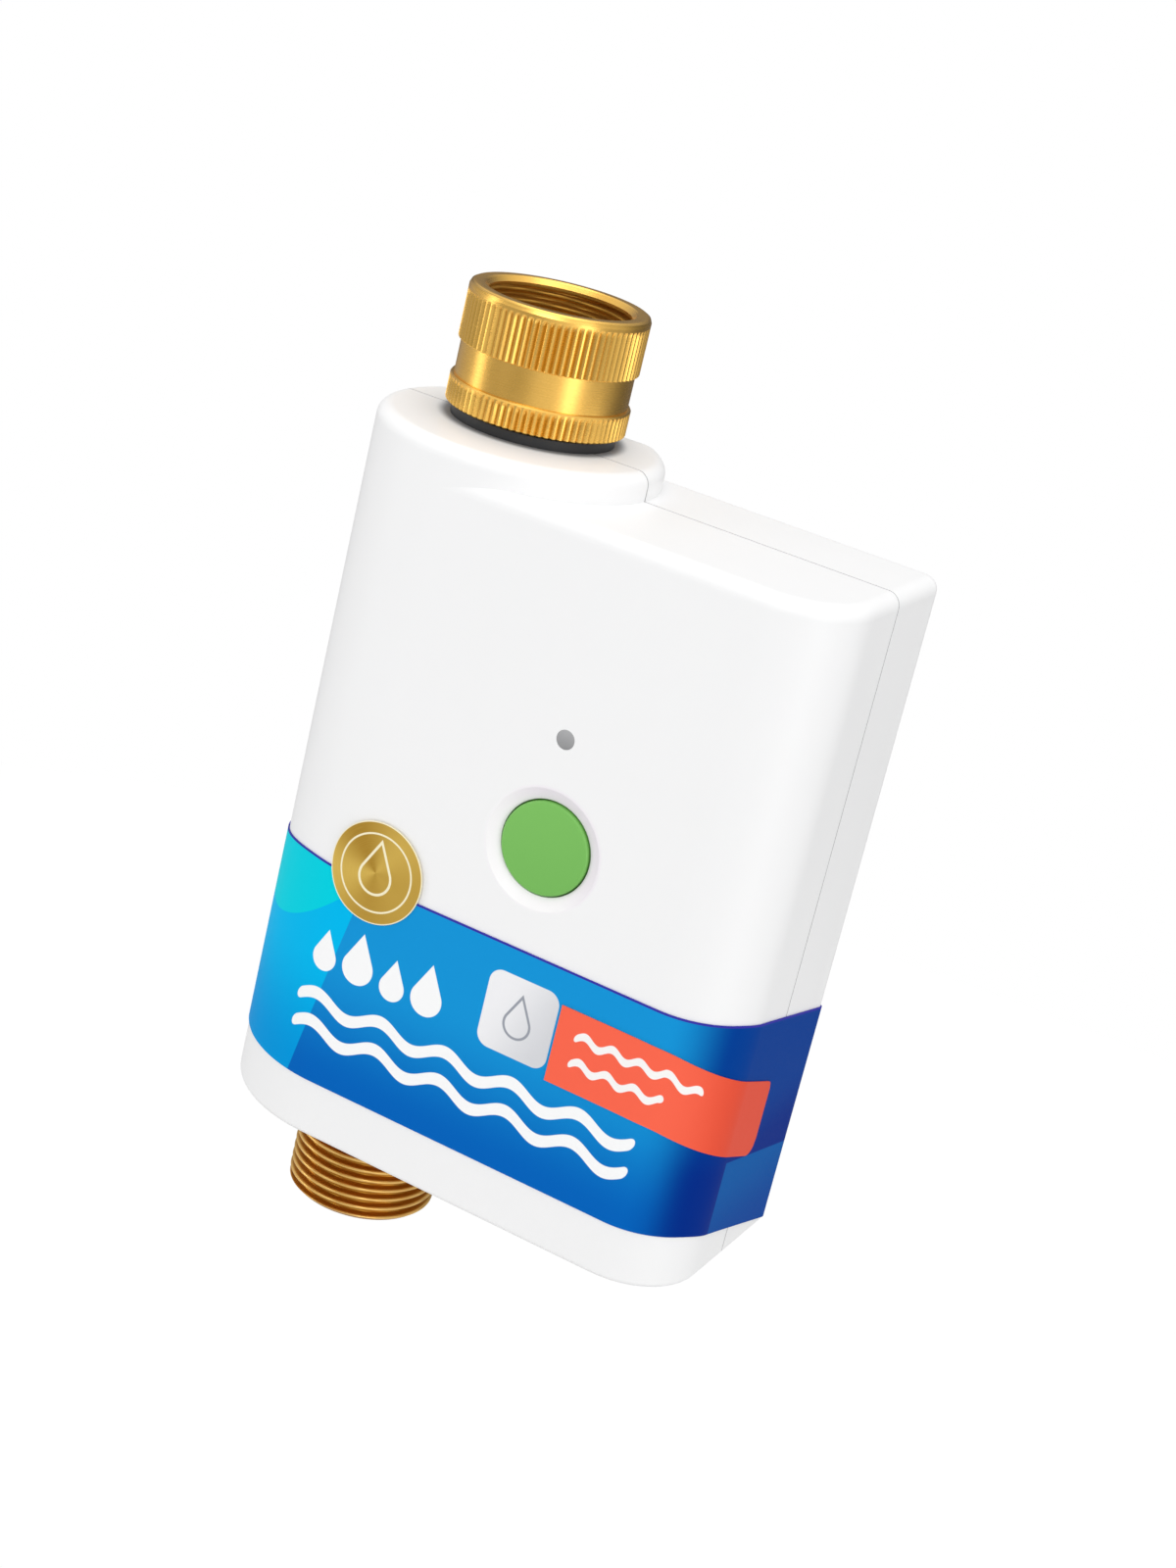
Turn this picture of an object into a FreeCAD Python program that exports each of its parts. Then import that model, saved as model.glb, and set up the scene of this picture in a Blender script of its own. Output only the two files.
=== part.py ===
import FreeCAD, Part
import math
import os

# Smart irrigation controller: a motorised ball valve in a two-shell case that hangs on a garden tap.
# Millimetres. The origin is on the flow axis, where the tap's end seats on the inlet washer.
# +Z is up, the front with the button faces -Y, and +X is to the right seen from the front.

# General fits
PLAY = 0.3            # between parts that move past each other
FIT = 0.05            # radial or side clearance of parts that are fitted together
RUN_FIT = 0.06        # radial clearance of a turning shaft

# Case
WALL = 2.4
TOWER_R = 24.4        # the round tower on the left
TOWER_AHEAD = 2.8     # the tower's axis lies this far in front of the flow axis
CASE_RIGHT = 70.9     # flow axis to the right side
CASE_REAR = 15.8      # flow axis to the rear face
SEAM_AHEAD = 3.2      # the seam of the two shells, in front of the flow axis
FRONT_CORNER_R = 13.0
REAR_CORNER_R = 3.0
TOWER_CORNER_R = 4.2
TOP_ROUND = 2.4
BOTTOM_ROUND = 0.9
TOWER_TOP = -10.3
BOX_TOP = -15.0
CASE_BELOW = 22.6     # stem axis to the underside
SEAM_NOTCH = 0.3
RIB_T = 1.7           # webs across the tower that steady the tail pipe
RIB_SINK = 0.2
GASKET_INSET = 0.8
GASKET_W = 1.0
GASKET_DEEP = 1.2

# Inlet: swivel nut, washer, filter, tail pipe and collar
THREAD_MAJOR_R = 13.22    # three-quarter inch parallel pipe thread
THREAD_MINOR_R = 12.06
THREAD_PITCH = 1.814
NUT_R = 15.3
NUT_TOP = 12.0
NUT_BOTTOM = -8.3
NUT_BAND_R = 14.7
NUT_BAND_LOW = -3.7
NUT_BAND_HIGH = 2.3
NUT_RIM_CHAMFER = 0.8
NUT_LEAD_CHAMFER = 1.5
NUT_THREAD_LOW = 0.6
NUT_LIP_PLAY = 0.4    # below the tail's flange
NUT_TAIL_PLAY = 0.7   # round the tail pipe
KNURLS = 80
KNURL_DEEP = 0.42
KNURL_LAND = 0.3      # share of the pitch that stays full height
KNURL_TOP_GAP = 1.3
WASHER_T = 2.0
WASHER_HOLE_R = 8.5
FLANGE_R = 11.7
FLANGE_T = 2.6
TAIL_R = 10.0
TAIL_BORE_R = 7.6
SCREEN_T = 0.35
SCREEN_RIM_T = 0.8
SCREEN_DEEP = 9.0
SCREEN_TIP_R = 3.0
COLLAR_R = 14.0
COLLAR_SKIRT_R = 12.4
COLLAR_SKIRT = 3.6

# Valve
STEM_BELOW = 25.8     # stem axis below the battery bay
VALVE_R = 13.0
VALVE_ABOVE = 22.0    # valve body above and below the stem's axis
VALVE_BELOW = 18.0
SOCKET_DEEP = 10.0
BALL_R = 9.0
PORT_R = 5.0
SEAT_NEAR = 4.8       # the seats' faces from the ball's middle height
SEAT_FAR = 1.0        # their backs past the ball
STEM_R = 3.0
STEM_FLANGE_R = 4.6
STEM_FLANGE_T = 1.4
TANG_T = 3.0
TANG_DEEP = 2.4
BOSS_R = 6.5
BOSS_PAD_T = 2.2
BOSS_PAD_Y = 11.5
BOSS_PAD_Z = 8.0
O_RING_R = 0.9
OUTLET_SOCKET_R = 11.0
OUTLET_BORE_R = 8.0
OUTLET_LONG = 20.7    # outlet below the case
OUTLET_CHAMFER = 0.9
OUTLET_PLAY = 0.4     # round the outlet in the case's underside
THREAD_RUN_IN = 1.6   # the outlet's thread starts this far inside the case

# Gear drive
PLATE_T = 1.6
GEAR_GAP = 0.6        # end play between wheels and plates
OUT_MODULE = 0.6
OUT_TEETH = 36
OUT_W = 4.0
CAM_W = 3.2
CAM_R = 5.0
CAM_LOBE_R = 8.0
SMALL_TEETH = 12
BIG_MODULE = 0.5
BIG_TEETH = 40
BIG_W = 2.6
PINION_TEETH = 10
PINION_W = 3.4
PRESSURE_DEG = 25.0
ADDENDUM = 0.8        # tooth heights, in modules
DEDENDUM = 1.1
BACKLASH = 0.12
AXLE_R = 1.0
IDLER_DY = -8.0       # idler axle from the stem's axis
MOTOR_DY = -3.0       # motor axle from the idler axle
MOTOR_R = 10.0
MOTOR_FLAT = 7.7
MOTOR_LONG = 25.0
MOTOR_CAP_T = 2.6
MOTOR_BOSS_R = 3.0
MOTOR_BOSS_T = 1.5
GEAR_SCREW_R = 0.9
POST_R = 1.9
SHAFT_IN = 3.0        # motor shaft inside its can
SWITCH_LONG = 8.0
SWITCH_DEEP = 5.4

# Circuit board
BOARD_X = (24.0, 65.0)
BOARD_TOP = -25.0
BOARD_OVER_BAY = 2.2  # its lower edge above the bay's lower end
BOARD_T = 1.6
BOARD_STANDOFF = 7.6  # front wall to the board's front face
BOARD_INSET = 3.6
BOARD_SCREW_R = 1.25
BOARD_SCREW_DEEP = 6.0    # its hole in the boss
BOARD_HEAD_R = 2.3
BOARD_HEAD = 1.4
BOARD_BOSS_R = 3.0
SHIELD_X = 52.0
SHIELD_DROP = 15.0    # parts on the board: their centres below its top edge
SHIELD_W = 16.0
SHIELD_H = 14.0
SHIELD_DEEP = 2.4
SHIELD_T = 0.3
CAN_R = 4.0
CAN_LONG = 11.5
CAN_X = 30.0
CAN_DROP = 25.0
CAN_FOOT = 2.0
CHIPS = [(49.0, 32.0, 7.0, 7.0, 1.0), (52.0, 43.0, 4.9, 3.9, 1.5), (58.0, 43.0, 3.2, 1.6, 0.9)]
PLUGS_X = [35.5, 45.0, 54.0]
PLUG_W = 6.0
PLUG_DEEP = 4.0
PLUG_EDGE = 0.8       # above the board's lower edge
SWITCH_W = 6.0
SWITCH_T = 3.5
PLUNGER_R = 1.75
PLUNGER_LONG = 2.2
PLUNGER_OUT = 0.9     # past the switch's face
LED_T = 1.4

# Button and status light
BUTTON_X = 31.9
BUTTON_OVER_BAY = 17.9  # its centre above the bay's lower end
BUTTON_R = 7.9
BUTTON_TRAVEL = 0.6
BUTTON_SINK = 1.0     # the button's face below the front face
BUTTON_FLANGE = 1.5
BUTTON_RIM = 0.9      # the flange reaches this far past its hole
BUTTON_RAM_R = 2.4
BUTTON_EDGE = 0.35
DISH_R = 10.3
DISH_DEEP = 1.2
LIGHT_X = 31.4
LIGHT_OVER_BUTTON = 19.0
LIGHT_R = 1.6
LIGHT_SINK = 0.1
LIGHT_FLANGE = 1.1
LIGHT_DIMPLE_R = 4.4

# Battery bay, at the rear
CELL_R = 7.25
CELL_LONG = 50.5
CELL_NUB_R = 2.75
CELL_NUB = 1.0
CELL_EDGE = 0.7
CELL_SPACE = 0.6      # round each cell
CONTACT_ROOM = 2.6    # at each end of the cells
BAY_X = 43.5
BAY_TOP = -30.5
BAY_WALL = 1.5
DOOR_T = 2.0
SEAL_T = 0.5
SEAL_W = 1.6
LIP = 2.6
CONTACT_T = 0.4
CONTACT_HALF = 5.0
TAIL_W = 2.4
TAIL_OUT = 1.5        # centre of its soldered lead, below the bay's floor
LEAF_T = 0.3
DOOR_TONGUE = 8.8     # the door above the bay, where its screw sits
DOOR_SCREW_R = 1.5
DOOR_SCREW_HEAD_R = 2.9
DOOR_SCREW_HEAD = 1.7
DOOR_SCREW_LONG = 8.0
DOOR_PAD = 1.6        # the sunk pad of the door round its screw's head
DOOR_PAD_DEEP = 1.2
DOOR_PILLAR = 1.2     # wall of the pillar round that pad
GRIPS = 4
GRIP_W = 0.9
GRIP_PITCH = 2.0
GRIP_LONG = 18.0
GRIP_DEEP = 0.5

# Case screws
CASE_SCREW_R = 1.4
CASE_SCREW_HEAD_R = 2.7
CASE_SCREW_HEAD = 1.9
CASE_SCREW_LONG = 18.0
CASE_BOSS_R = 3.5
CASE_SCREW_INSET = 5.6    # from the case's right side, top and bottom
CASE_SCREW_LEFT = 20.5
CASE_SCREW_MIDDLE = 5.8   # the middle screw below the battery bay

# Printed label and stickers
LABEL_T = 0.2
LABEL_LIFT = 0.06
LABEL_H = 38.7
LABEL_ABOVE = 10.1    # its lower edge above the underside
LABEL_FALL_TOP = 0.19     # its edges fall by this much per millimetre along the right side
LABEL_FALL_BOTTOM = 0.244
LABEL_LEVEL = 7.2         # behind the front face, where the fall starts
LABEL_BACK = 3.6      # its ends stop this far from the rear face
STICKER_T = 0.15
DISC_R = 8.9
DISC_X = 3.8
DISC_RISE = 2.2       # its centre above the label's top edge
TAG_LEFT = 41.5
TAG_DROP = 5.5        # its top below the label's top edge
TAG_H = 14.2
TAG_BACK = 25.0       # its end behind the front face
TAG_FALL = 0.37
TAG_LEVEL = 1.0

# Leads
LEAD_R = 0.6
LEAD_BEND = 2.5

# Places worked out from the sizes above
TOWER_Y = -TOWER_AHEAD
FRONT_Y = TOWER_Y - TOWER_R
SEAM_Y = -SEAM_AHEAD
INNER_FRONT = FRONT_Y + WALL
INNER_REAR = CASE_REAR - WALL
BAY_BOTTOM = BAY_TOP - CELL_LONG - 2 * CONTACT_ROOM
STEM_Z = BAY_BOTTOM - STEM_BELOW
CASE_BOTTOM = STEM_Z - CASE_BELOW
OUTLET_END = CASE_BOTTOM - OUTLET_LONG
LABEL_BOTTOM = CASE_BOTTOM + LABEL_ABOVE
LABEL_TOP = LABEL_BOTTOM + LABEL_H
DISC_Z = LABEL_TOP + DISC_RISE
TAG_TOP = LABEL_TOP - TAG_DROP
BUTTON_Z = BAY_BOTTOM + BUTTON_OVER_BAY
LIGHT_Z = BUTTON_Z + LIGHT_OVER_BUTTON
BOARD_H = BOARD_TOP - BAY_BOTTOM - BOARD_OVER_BAY
BOARD_Z = (BOARD_TOP - BOARD_H, BOARD_TOP)
FLANGE_TOP = -WASHER_T
VALVE_TOP = STEM_Z + VALVE_ABOVE
VALVE_BOTTOM = STEM_Z - VALVE_BELOW
BOARD_Y = INNER_FRONT + BOARD_STANDOFF
PAD_X = VALVE_R + 5.4
BASE_X = PAD_X
CAM_X = BASE_X + PLATE_T + GEAR_GAP
OUT_X = CAM_X + CAM_W
BIG_X = OUT_X + OUT_W + 1.0
COVER_X = BIG_X + BIG_W + 1.2
MOTOR_X = COVER_X + PLATE_T
OUT_PITCH_R = OUT_MODULE * OUT_TEETH / 2
SMALL_PITCH_R = OUT_MODULE * SMALL_TEETH / 2
BIG_PITCH_R = BIG_MODULE * BIG_TEETH / 2
PINION_PITCH_R = BIG_MODULE * PINION_TEETH / 2
IDLER_GAP = OUT_PITCH_R + SMALL_PITCH_R
IDLER_Y = IDLER_DY
IDLER_Z = STEM_Z + math.sqrt(IDLER_GAP ** 2 - IDLER_DY ** 2)
MOTOR_GAP = BIG_PITCH_R + PINION_PITCH_R
MOTOR_Y = IDLER_Y + MOTOR_DY
MOTOR_Z = IDLER_Z - math.sqrt(MOTOR_GAP ** 2 - MOTOR_DY ** 2)
CELL_PITCH = 2 * CELL_R + CELL_SPACE
CELL_Y = CASE_REAR - DOOR_T - SEAL_T - CELL_SPACE - CELL_R
BAY_FLOOR = CELL_Y - CELL_R - CELL_SPACE / 2
BAY_HALF = CELL_PITCH / 2 + CELL_R + CELL_SPACE / 2
DOOR_SCREW_Z = BAY_TOP + LIP + DOOR_TONGUE / 2
SEAT_PLANE = CASE_REAR - DOOR_T - SEAL_T


def vec(x, y, z):
    return FreeCAD.Vector(x, y, z)


AXIS_X = vec(1, 0, 0)
AXIS_Y = vec(0, 1, 0)
AXIS_Z = vec(0, 0, 1)


def rod(radius, x, y, z, axis, length):
    return Part.makeCylinder(radius, length, vec(x, y, z), axis)


def tube(outer, inner, x, y, z, axis, length):
    return rod(outer, x, y, z, axis, length).cut(rod(inner, x, y, z, axis, length))


def cone(r_low, r_high, x, y, z, axis, length):
    return Part.makeCone(r_low, r_high, length, vec(x, y, z), axis)


def block(x0, x1, y0, y1, z0, z1):
    return Part.makeBox(x1 - x0, y1 - y0, z1 - z0, vec(x0, y0, z0))


def joined(shapes):
    whole = shapes[0]
    for shape in shapes[1:]:
        whole = whole.fuse(shape)
    return whole.removeSplitter()


def save(name, shape):
    if isinstance(shape, list):
        shape = Part.makeCompound(shape)
    shape.exportStep("parts/" + name + ".step")
    print(name, len(shape.Solids), round(shape.Volume, 1), shape.isValid())


def arc(cx, cy, radius, start, end):
    points = []
    for deg in (start, (start + end) / 2, end):
        a = math.radians(deg)
        points.append(vec(cx + radius * math.cos(a), cy + radius * math.sin(a), 0))
    return Part.Arc(*points).toShape()


def prism(edges, z0, z1):
    """A solid of the closed outline between two heights."""
    face = Part.Face(Part.Wire(edges))
    face.translate(vec(0, 0, z0))
    return face.extrude(vec(0, 0, z1 - z0))


def tower_corner():
    """Centre of the arc between tower and rear face, and the angle where it meets the tower."""
    y = CASE_REAR - TOWER_CORNER_R
    x = math.sqrt((TOWER_R - TOWER_CORNER_R) ** 2 - (y - TOWER_Y) ** 2)
    return x, y, math.degrees(math.atan2(y - TOWER_Y, x))


def chained(arcs):
    """Close a run of arcs, in order, with straight lines where their ends don't meet."""
    edges = []
    for here, after in zip(arcs, arcs[1:] + arcs[:1]):
        edges.append(here)
        end = here.valueAt(here.LastParameter)
        start = after.valueAt(after.FirstParameter)
        if end.distanceToPoint(start) > 1e-6:
            edges.append(Part.makeLine(end, start))
    return edges


def case_outline(inset):
    """The whole case from above: round tower at the left, box at the right."""
    cx, cy, angle = tower_corner()
    return chained([
        arc(-cx, cy, TOWER_CORNER_R - inset, 90, 180 - angle),
        arc(0, TOWER_Y, TOWER_R - inset, 180 - angle, 270),
        arc(CASE_RIGHT - FRONT_CORNER_R, FRONT_Y + FRONT_CORNER_R, FRONT_CORNER_R - inset, 270, 360),
        arc(CASE_RIGHT - REAR_CORNER_R, CASE_REAR - REAR_CORNER_R, REAR_CORNER_R - inset, 0, 90)])


def tower_outline(inset):
    cx, cy, angle = tower_corner()
    return chained([
        arc(-cx, cy, TOWER_CORNER_R - inset, 90, 180 - angle),
        arc(0, TOWER_Y, TOWER_R - inset, 180 - angle, 360 + angle),
        arc(cx, cy, TOWER_CORNER_R - inset, angle, 90)])


def round_level(solid, z, radius):
    if radius < 0.05:
        return solid
    edges = [e for e in solid.Edges if all(abs(v.Z - z) < 1e-6 for v in e.Vertexes)]
    return solid.makeFillet(radius, edges)


def case_form(inset):
    """The case's outer form, shrunk by the inset on every side."""
    parts = []
    for outline, top in ((case_outline(inset), BOX_TOP - inset), (tower_outline(inset), TOWER_TOP - inset)):
        solid = prism(outline, CASE_BOTTOM + inset, top)
        solid = round_level(solid, top, TOP_ROUND - inset)
        parts.append(round_level(solid, CASE_BOTTOM + inset, BOTTOM_ROUND - inset))
    return parts[0].fuse(parts[1])


def ring_form(outset, thick, z0, z1):
    """A skin round the case's upright walls."""
    return prism(case_outline(-outset - thick), z0, z1).cut(prism(case_outline(-outset), z0, z1))


def case_screw_places():
    right = CASE_RIGHT - CASE_SCREW_INSET
    low = CASE_BOTTOM + CASE_SCREW_INSET
    high = BOX_TOP - CASE_SCREW_INSET
    middle = BAY_BOTTOM - CASE_SCREW_MIDDLE
    return [(CASE_SCREW_LEFT, high), (right, high), (right, middle), (right, low), (CASE_SCREW_LEFT, low)]


def board_screw_places():
    places = []
    for x in (BOARD_X[0] + BOARD_INSET, BOARD_X[1] - BOARD_INSET):
        for z in (BOARD_Z[0] + BOARD_INSET, BOARD_Z[1] - BOARD_INSET):
            places.append((x, z))
    return places


def case_shell(form, inner, front):
    """One half of the hollow case, with the openings for collar and outlet."""
    shell = form.cut(inner)
    notch = block(-99, 99, SEAM_Y - SEAM_NOTCH / 2, SEAM_Y + SEAM_NOTCH / 2, -199, 99)
    shell = shell.cut(notch.common(form.cut(case_form(SEAM_NOTCH))))
    if front:
        half = block(-99, 99, -99, SEAM_Y, -199, 99)
    else:
        half = block(-99, 99, SEAM_Y, 99, -199, 99)
    shell = shell.common(half)
    ribs = []
    for share in (1 / 3, 2 / 3):
        z = TOWER_TOP + (VALVE_TOP - TOWER_TOP) * share
        rib = prism(tower_outline(WALL - RIB_SINK), z, z + RIB_T)
        rib = rib.common(block(-99, TOWER_R / 2, -99, 99, -199, 99)).common(half)
        ribs.append(rib)
    shell = joined([shell] + ribs)
    return cut_for_pipes(shell)


def cut_for_pipes(shape):
    """Holes for the collar's skirt, the tail pipe and the outlet."""
    low = TOWER_TOP - COLLAR_SKIRT
    shape = shape.cut(rod(COLLAR_SKIRT_R + FIT, 0, 0, low, AXIS_Z, COLLAR_SKIRT + 1))
    shape = shape.cut(rod(TAIL_R + FIT, 0, 0, VALVE_TOP, AXIS_Z, low - VALVE_TOP))
    return shape.cut(rod(THREAD_MAJOR_R + OUTLET_PLAY, 0, 0, CASE_BOTTOM - 1, AXIS_Z,
                         VALVE_BOTTOM - CASE_BOTTOM + 1))


def front_shell(form, inner):
    """Front half: dished button well, hole for the light pipe, bosses for the board and the case screws."""
    shell = case_shell(form, inner, True)
    posts = []
    for x, z in board_screw_places():
        posts.append(rod(BOARD_BOSS_R, x, INNER_FRONT - 0.2, z, AXIS_Y, BOARD_Y - INNER_FRONT + 0.2))
    for x, z in case_screw_places():
        posts.append(rod(CASE_BOSS_R, x, INNER_FRONT - 0.2, z, AXIS_Y, SEAM_Y - INNER_FRONT + 0.2))
    shell = joined([shell] + [post.common(form) for post in posts])
    for x, z in board_screw_places():
        shell = shell.cut(rod(BOARD_SCREW_R, x, BOARD_Y - BOARD_SCREW_DEEP, z, AXIS_Y, BOARD_SCREW_DEEP + 1))
    for x, z in case_screw_places():
        shell = shell.cut(rod(CASE_SCREW_R, x, case_screw_tip(), z, AXIS_Y, CASE_SCREW_LONG))
    well = cone(DISH_R, BUTTON_R + PLAY, BUTTON_X, FRONT_Y, BUTTON_Z, AXIS_Y, DISH_DEEP)
    shell = shell.cut(well).cut(rod(BUTTON_R + PLAY, BUTTON_X, FRONT_Y, BUTTON_Z, AXIS_Y, WALL + 1))
    return shell.cut(rod(LIGHT_R + FIT, LIGHT_X, FRONT_Y - 1, LIGHT_Z, AXIS_Y, WALL + 2))


def bay_block(grow, y0, y1, top_extra=0.0):
    return block(BAY_X - BAY_HALF - grow, BAY_X + BAY_HALF + grow, y0, y1,
                 BAY_BOTTOM - grow, BAY_TOP + grow + top_extra)


def case_screw_seat():
    return INNER_REAR - 6.0


def case_screw_tip():
    return case_screw_seat() - CASE_SCREW_LONG


def rear_shell(form, inner):
    """Rear half: battery bay with its door recess, gasket groove and tubes for the case screws."""
    shell = case_shell(form, inner, False)
    tubes = []
    for x, z in case_screw_places():
        tubes.append(rod(CASE_BOSS_R, x, SEAM_Y, z, AXIS_Y, CASE_REAR - 1 - SEAM_Y).common(form))
    tub = bay_block(BAY_WALL, BAY_FLOOR - BAY_WALL, CASE_REAR - 1)
    frame = bay_block(LIP + BAY_WALL, SEAT_PLANE - BAY_WALL, CASE_REAR - 1, DOOR_TONGUE)
    frame = frame.common(form)
    pad_r = DOOR_SCREW_HEAD_R + DOOR_PAD
    low = door_screw_seat() - DOOR_SCREW_LONG - DOOR_PILLAR
    pillar = rod(pad_r + PLAY + DOOR_PILLAR, BAY_X, low, DOOR_SCREW_Z, AXIS_Y, SEAT_PLANE - low)
    shell = joined([shell] + tubes + [tub, frame, pillar])
    shell = shell.cut(bay_block(0, BAY_FLOOR, CASE_REAR + 1))
    shell = shell.cut(bay_block(LIP + PLAY, SEAT_PLANE, CASE_REAR + 1, DOOR_TONGUE))
    shell = shell.cut(rod(DOOR_SCREW_R + RUN_FIT, BAY_X, low + DOOR_PILLAR - PLAY, DOOR_SCREW_Z, AXIS_Y,
                          DOOR_SCREW_LONG + WALL))
    shell = shell.cut(rod(pad_r + PLAY, BAY_X, SEAT_PLANE - DOOR_PAD_DEEP - PLAY, DOOR_SCREW_Z, AXIS_Y,
                          WALL + DOOR_T))
    for x in cell_places():
        shell = shell.cut(tail_form(x, FIT))
    groove = case_form(GASKET_INSET).cut(case_form(GASKET_INSET + GASKET_W))
    shell = shell.cut(groove.common(block(-99, 99, SEAM_Y - 1, SEAM_Y + GASKET_DEEP, -199, 99)))
    for x, z in case_screw_places():
        shell = shell.cut(rod(CASE_SCREW_R + 0.3, x, SEAM_Y - 1, z, AXIS_Y, 40))
        shell = shell.cut(rod(CASE_SCREW_HEAD_R + 0.3, x, case_screw_seat(), z, AXIS_Y, 40))
    return shell


def shell_gasket():
    ring = case_form(GASKET_INSET + FIT).cut(case_form(GASKET_INSET + GASKET_W - FIT))
    ring = ring.common(block(-99, 99, SEAM_Y, SEAM_Y + GASKET_DEEP - FIT, -199, 99))
    return cut_for_pipes(ring)


def screw(radius, head_r, head_t, length):
    """A pan head screw along -Y from its seat at the origin, with a crossed recess."""
    slot = head_r * 0.6
    body = joined([rod(radius, 0, -length, 0, AXIS_Y, length + 0.1), rod(head_r, 0, 0, 0, AXIS_Y, head_t)])
    for cut in (block(-slot, slot, head_t * 0.4, head_t + 1, -slot / 4, slot / 4),
                block(-slot / 4, slot / 4, head_t * 0.4, head_t + 1, -slot, slot)):
        body = body.cut(cut)
    return body


def case_screws():
    screws = []
    for x, z in case_screw_places():
        one = screw(CASE_SCREW_R, CASE_SCREW_HEAD_R, CASE_SCREW_HEAD, CASE_SCREW_LONG - PLAY)
        one.translate(vec(x, case_screw_seat(), z))
        screws.append(one)
    return screws


def knurled(z0, z1):
    """A ring of straight V grooves round the nut."""
    points = []
    pitch = 2 * math.pi / KNURLS
    for i in range(KNURLS):
        for turn, radius in ((-KNURL_LAND / 2, NUT_R), (KNURL_LAND / 2, NUT_R), (0.5, NUT_R - KNURL_DEEP)):
            a = (i + turn) * pitch
            points.append(vec(radius * math.cos(a), radius * math.sin(a), z0))
    points.append(points[0])
    return Part.Face(Part.makePolygon(points)).extrude(vec(0, 0, z1 - z0))


def thread_groove(open_r, apex_r, z0, z1):
    """The helical groove of the pipe thread, as a solid to cut away."""
    half = abs(open_r - apex_r) * math.tan(math.radians(27.5)) + 0.06
    helix = Part.makeHelix(THREAD_PITCH, z1 - z0, apex_r)
    corners = [vec(open_r, 0, -half), vec(open_r, 0, half), vec(apex_r, 0, 0.06), vec(apex_r, 0, -0.06)]
    sweep = Part.BRepOffsetAPI.MakePipeShell(Part.Wire(helix.Edges))
    sweep.setFrenetMode(True)
    sweep.add(Part.makePolygon(corners + corners[:1]))
    sweep.build()
    sweep.makeSolid()
    groove = sweep.shape()
    groove.translate(vec(0, 0, z0))
    return groove


def inlet_nut():
    """Swivel nut: two knurled rings with a plain band between, pipe thread inside, lip under the flange."""
    upper_top = NUT_TOP - KNURL_TOP_GAP
    nut = joined([
        knurled(NUT_BOTTOM, NUT_BAND_LOW),
        rod(NUT_BAND_R, 0, 0, NUT_BAND_LOW, AXIS_Z, NUT_BAND_HIGH - NUT_BAND_LOW),
        knurled(NUT_BAND_HIGH, upper_top),
        rod(NUT_R, 0, 0, upper_top, AXIS_Z, NUT_TOP - upper_top - NUT_RIM_CHAMFER),
        cone(NUT_R, NUT_R - NUT_RIM_CHAMFER, 0, 0, NUT_TOP - NUT_RIM_CHAMFER, AXIS_Z, NUT_RIM_CHAMFER)])
    lip_top = FLANGE_TOP - FLANGE_T - NUT_LIP_PLAY
    sleeve_r = (THREAD_MAJOR_R + NUT_BAND_R) / 2
    sleeve = tube(sleeve_r, THREAD_MINOR_R, 0, 0, lip_top, AXIS_Z, NUT_TOP - lip_top)
    sleeve = sleeve.cut(thread_groove(THREAD_MINOR_R - PLAY, THREAD_MAJOR_R, NUT_THREAD_LOW, NUT_TOP + PLAY))
    nut = nut.cut(rod(sleeve_r, 0, 0, lip_top, AXIS_Z, 2 * NUT_TOP))
    nut = nut.cut(rod(TAIL_R + NUT_TAIL_PLAY, 0, 0, NUT_BOTTOM - 1, AXIS_Z, 2 * NUT_TOP))
    lead = cone(THREAD_MINOR_R, THREAD_MINOR_R + NUT_LEAD_CHAMFER, 0, 0, NUT_TOP - NUT_LEAD_CHAMFER, AXIS_Z,
                NUT_LEAD_CHAMFER)
    return nut.fuse(sleeve.cut(lead)).cut(lead)


def inlet_washer():
    return tube(FLANGE_R, WASHER_HOLE_R, 0, 0, FLANGE_TOP, AXIS_Z, WASHER_T)


def filter_screen():
    """A fine mesh thimble hung by its rim on the flange, inside the washer's hole."""
    rim_r = WASHER_HOLE_R - FIT
    cup_r = TAIL_BORE_R - PLAY
    low = FLANGE_TOP - SCREEN_DEEP
    cup = cone(SCREEN_TIP_R, cup_r, 0, 0, low, AXIS_Z, SCREEN_DEEP)
    hollow = cone(SCREEN_TIP_R - SCREEN_T, cup_r - SCREEN_T, 0, 0, low + SCREEN_T, AXIS_Z, SCREEN_DEEP)
    rim = tube(rim_r, cup_r - 1.0, 0, 0, FLANGE_TOP, AXIS_Z, SCREEN_RIM_T)
    return joined([cup, rim]).cut(hollow)


def inlet_tail():
    """Brass tail pipe: its flange carries the nut and it screws into the valve body."""
    low = VALVE_TOP - SOCKET_DEEP
    return joined([rod(FLANGE_R, 0, 0, FLANGE_TOP - FLANGE_T, AXIS_Z, FLANGE_T),
                   rod(TAIL_R, 0, 0, low, AXIS_Z, FLANGE_TOP - low)]).cut(
        rod(TAIL_BORE_R, 0, 0, low - 1, AXIS_Z, FLANGE_TOP - low + 2))


def inlet_collar():
    top = NUT_BOTTOM - PLAY
    return joined([rod(COLLAR_R, 0, 0, TOWER_TOP, AXIS_Z, top - TOWER_TOP),
                   rod(COLLAR_SKIRT_R, 0, 0, TOWER_TOP - COLLAR_SKIRT, AXIS_Z, COLLAR_SKIRT)]).cut(
        rod(TAIL_R + FIT, 0, 0, TOWER_TOP - COLLAR_SKIRT - 1, AXIS_Z, 30))


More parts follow.
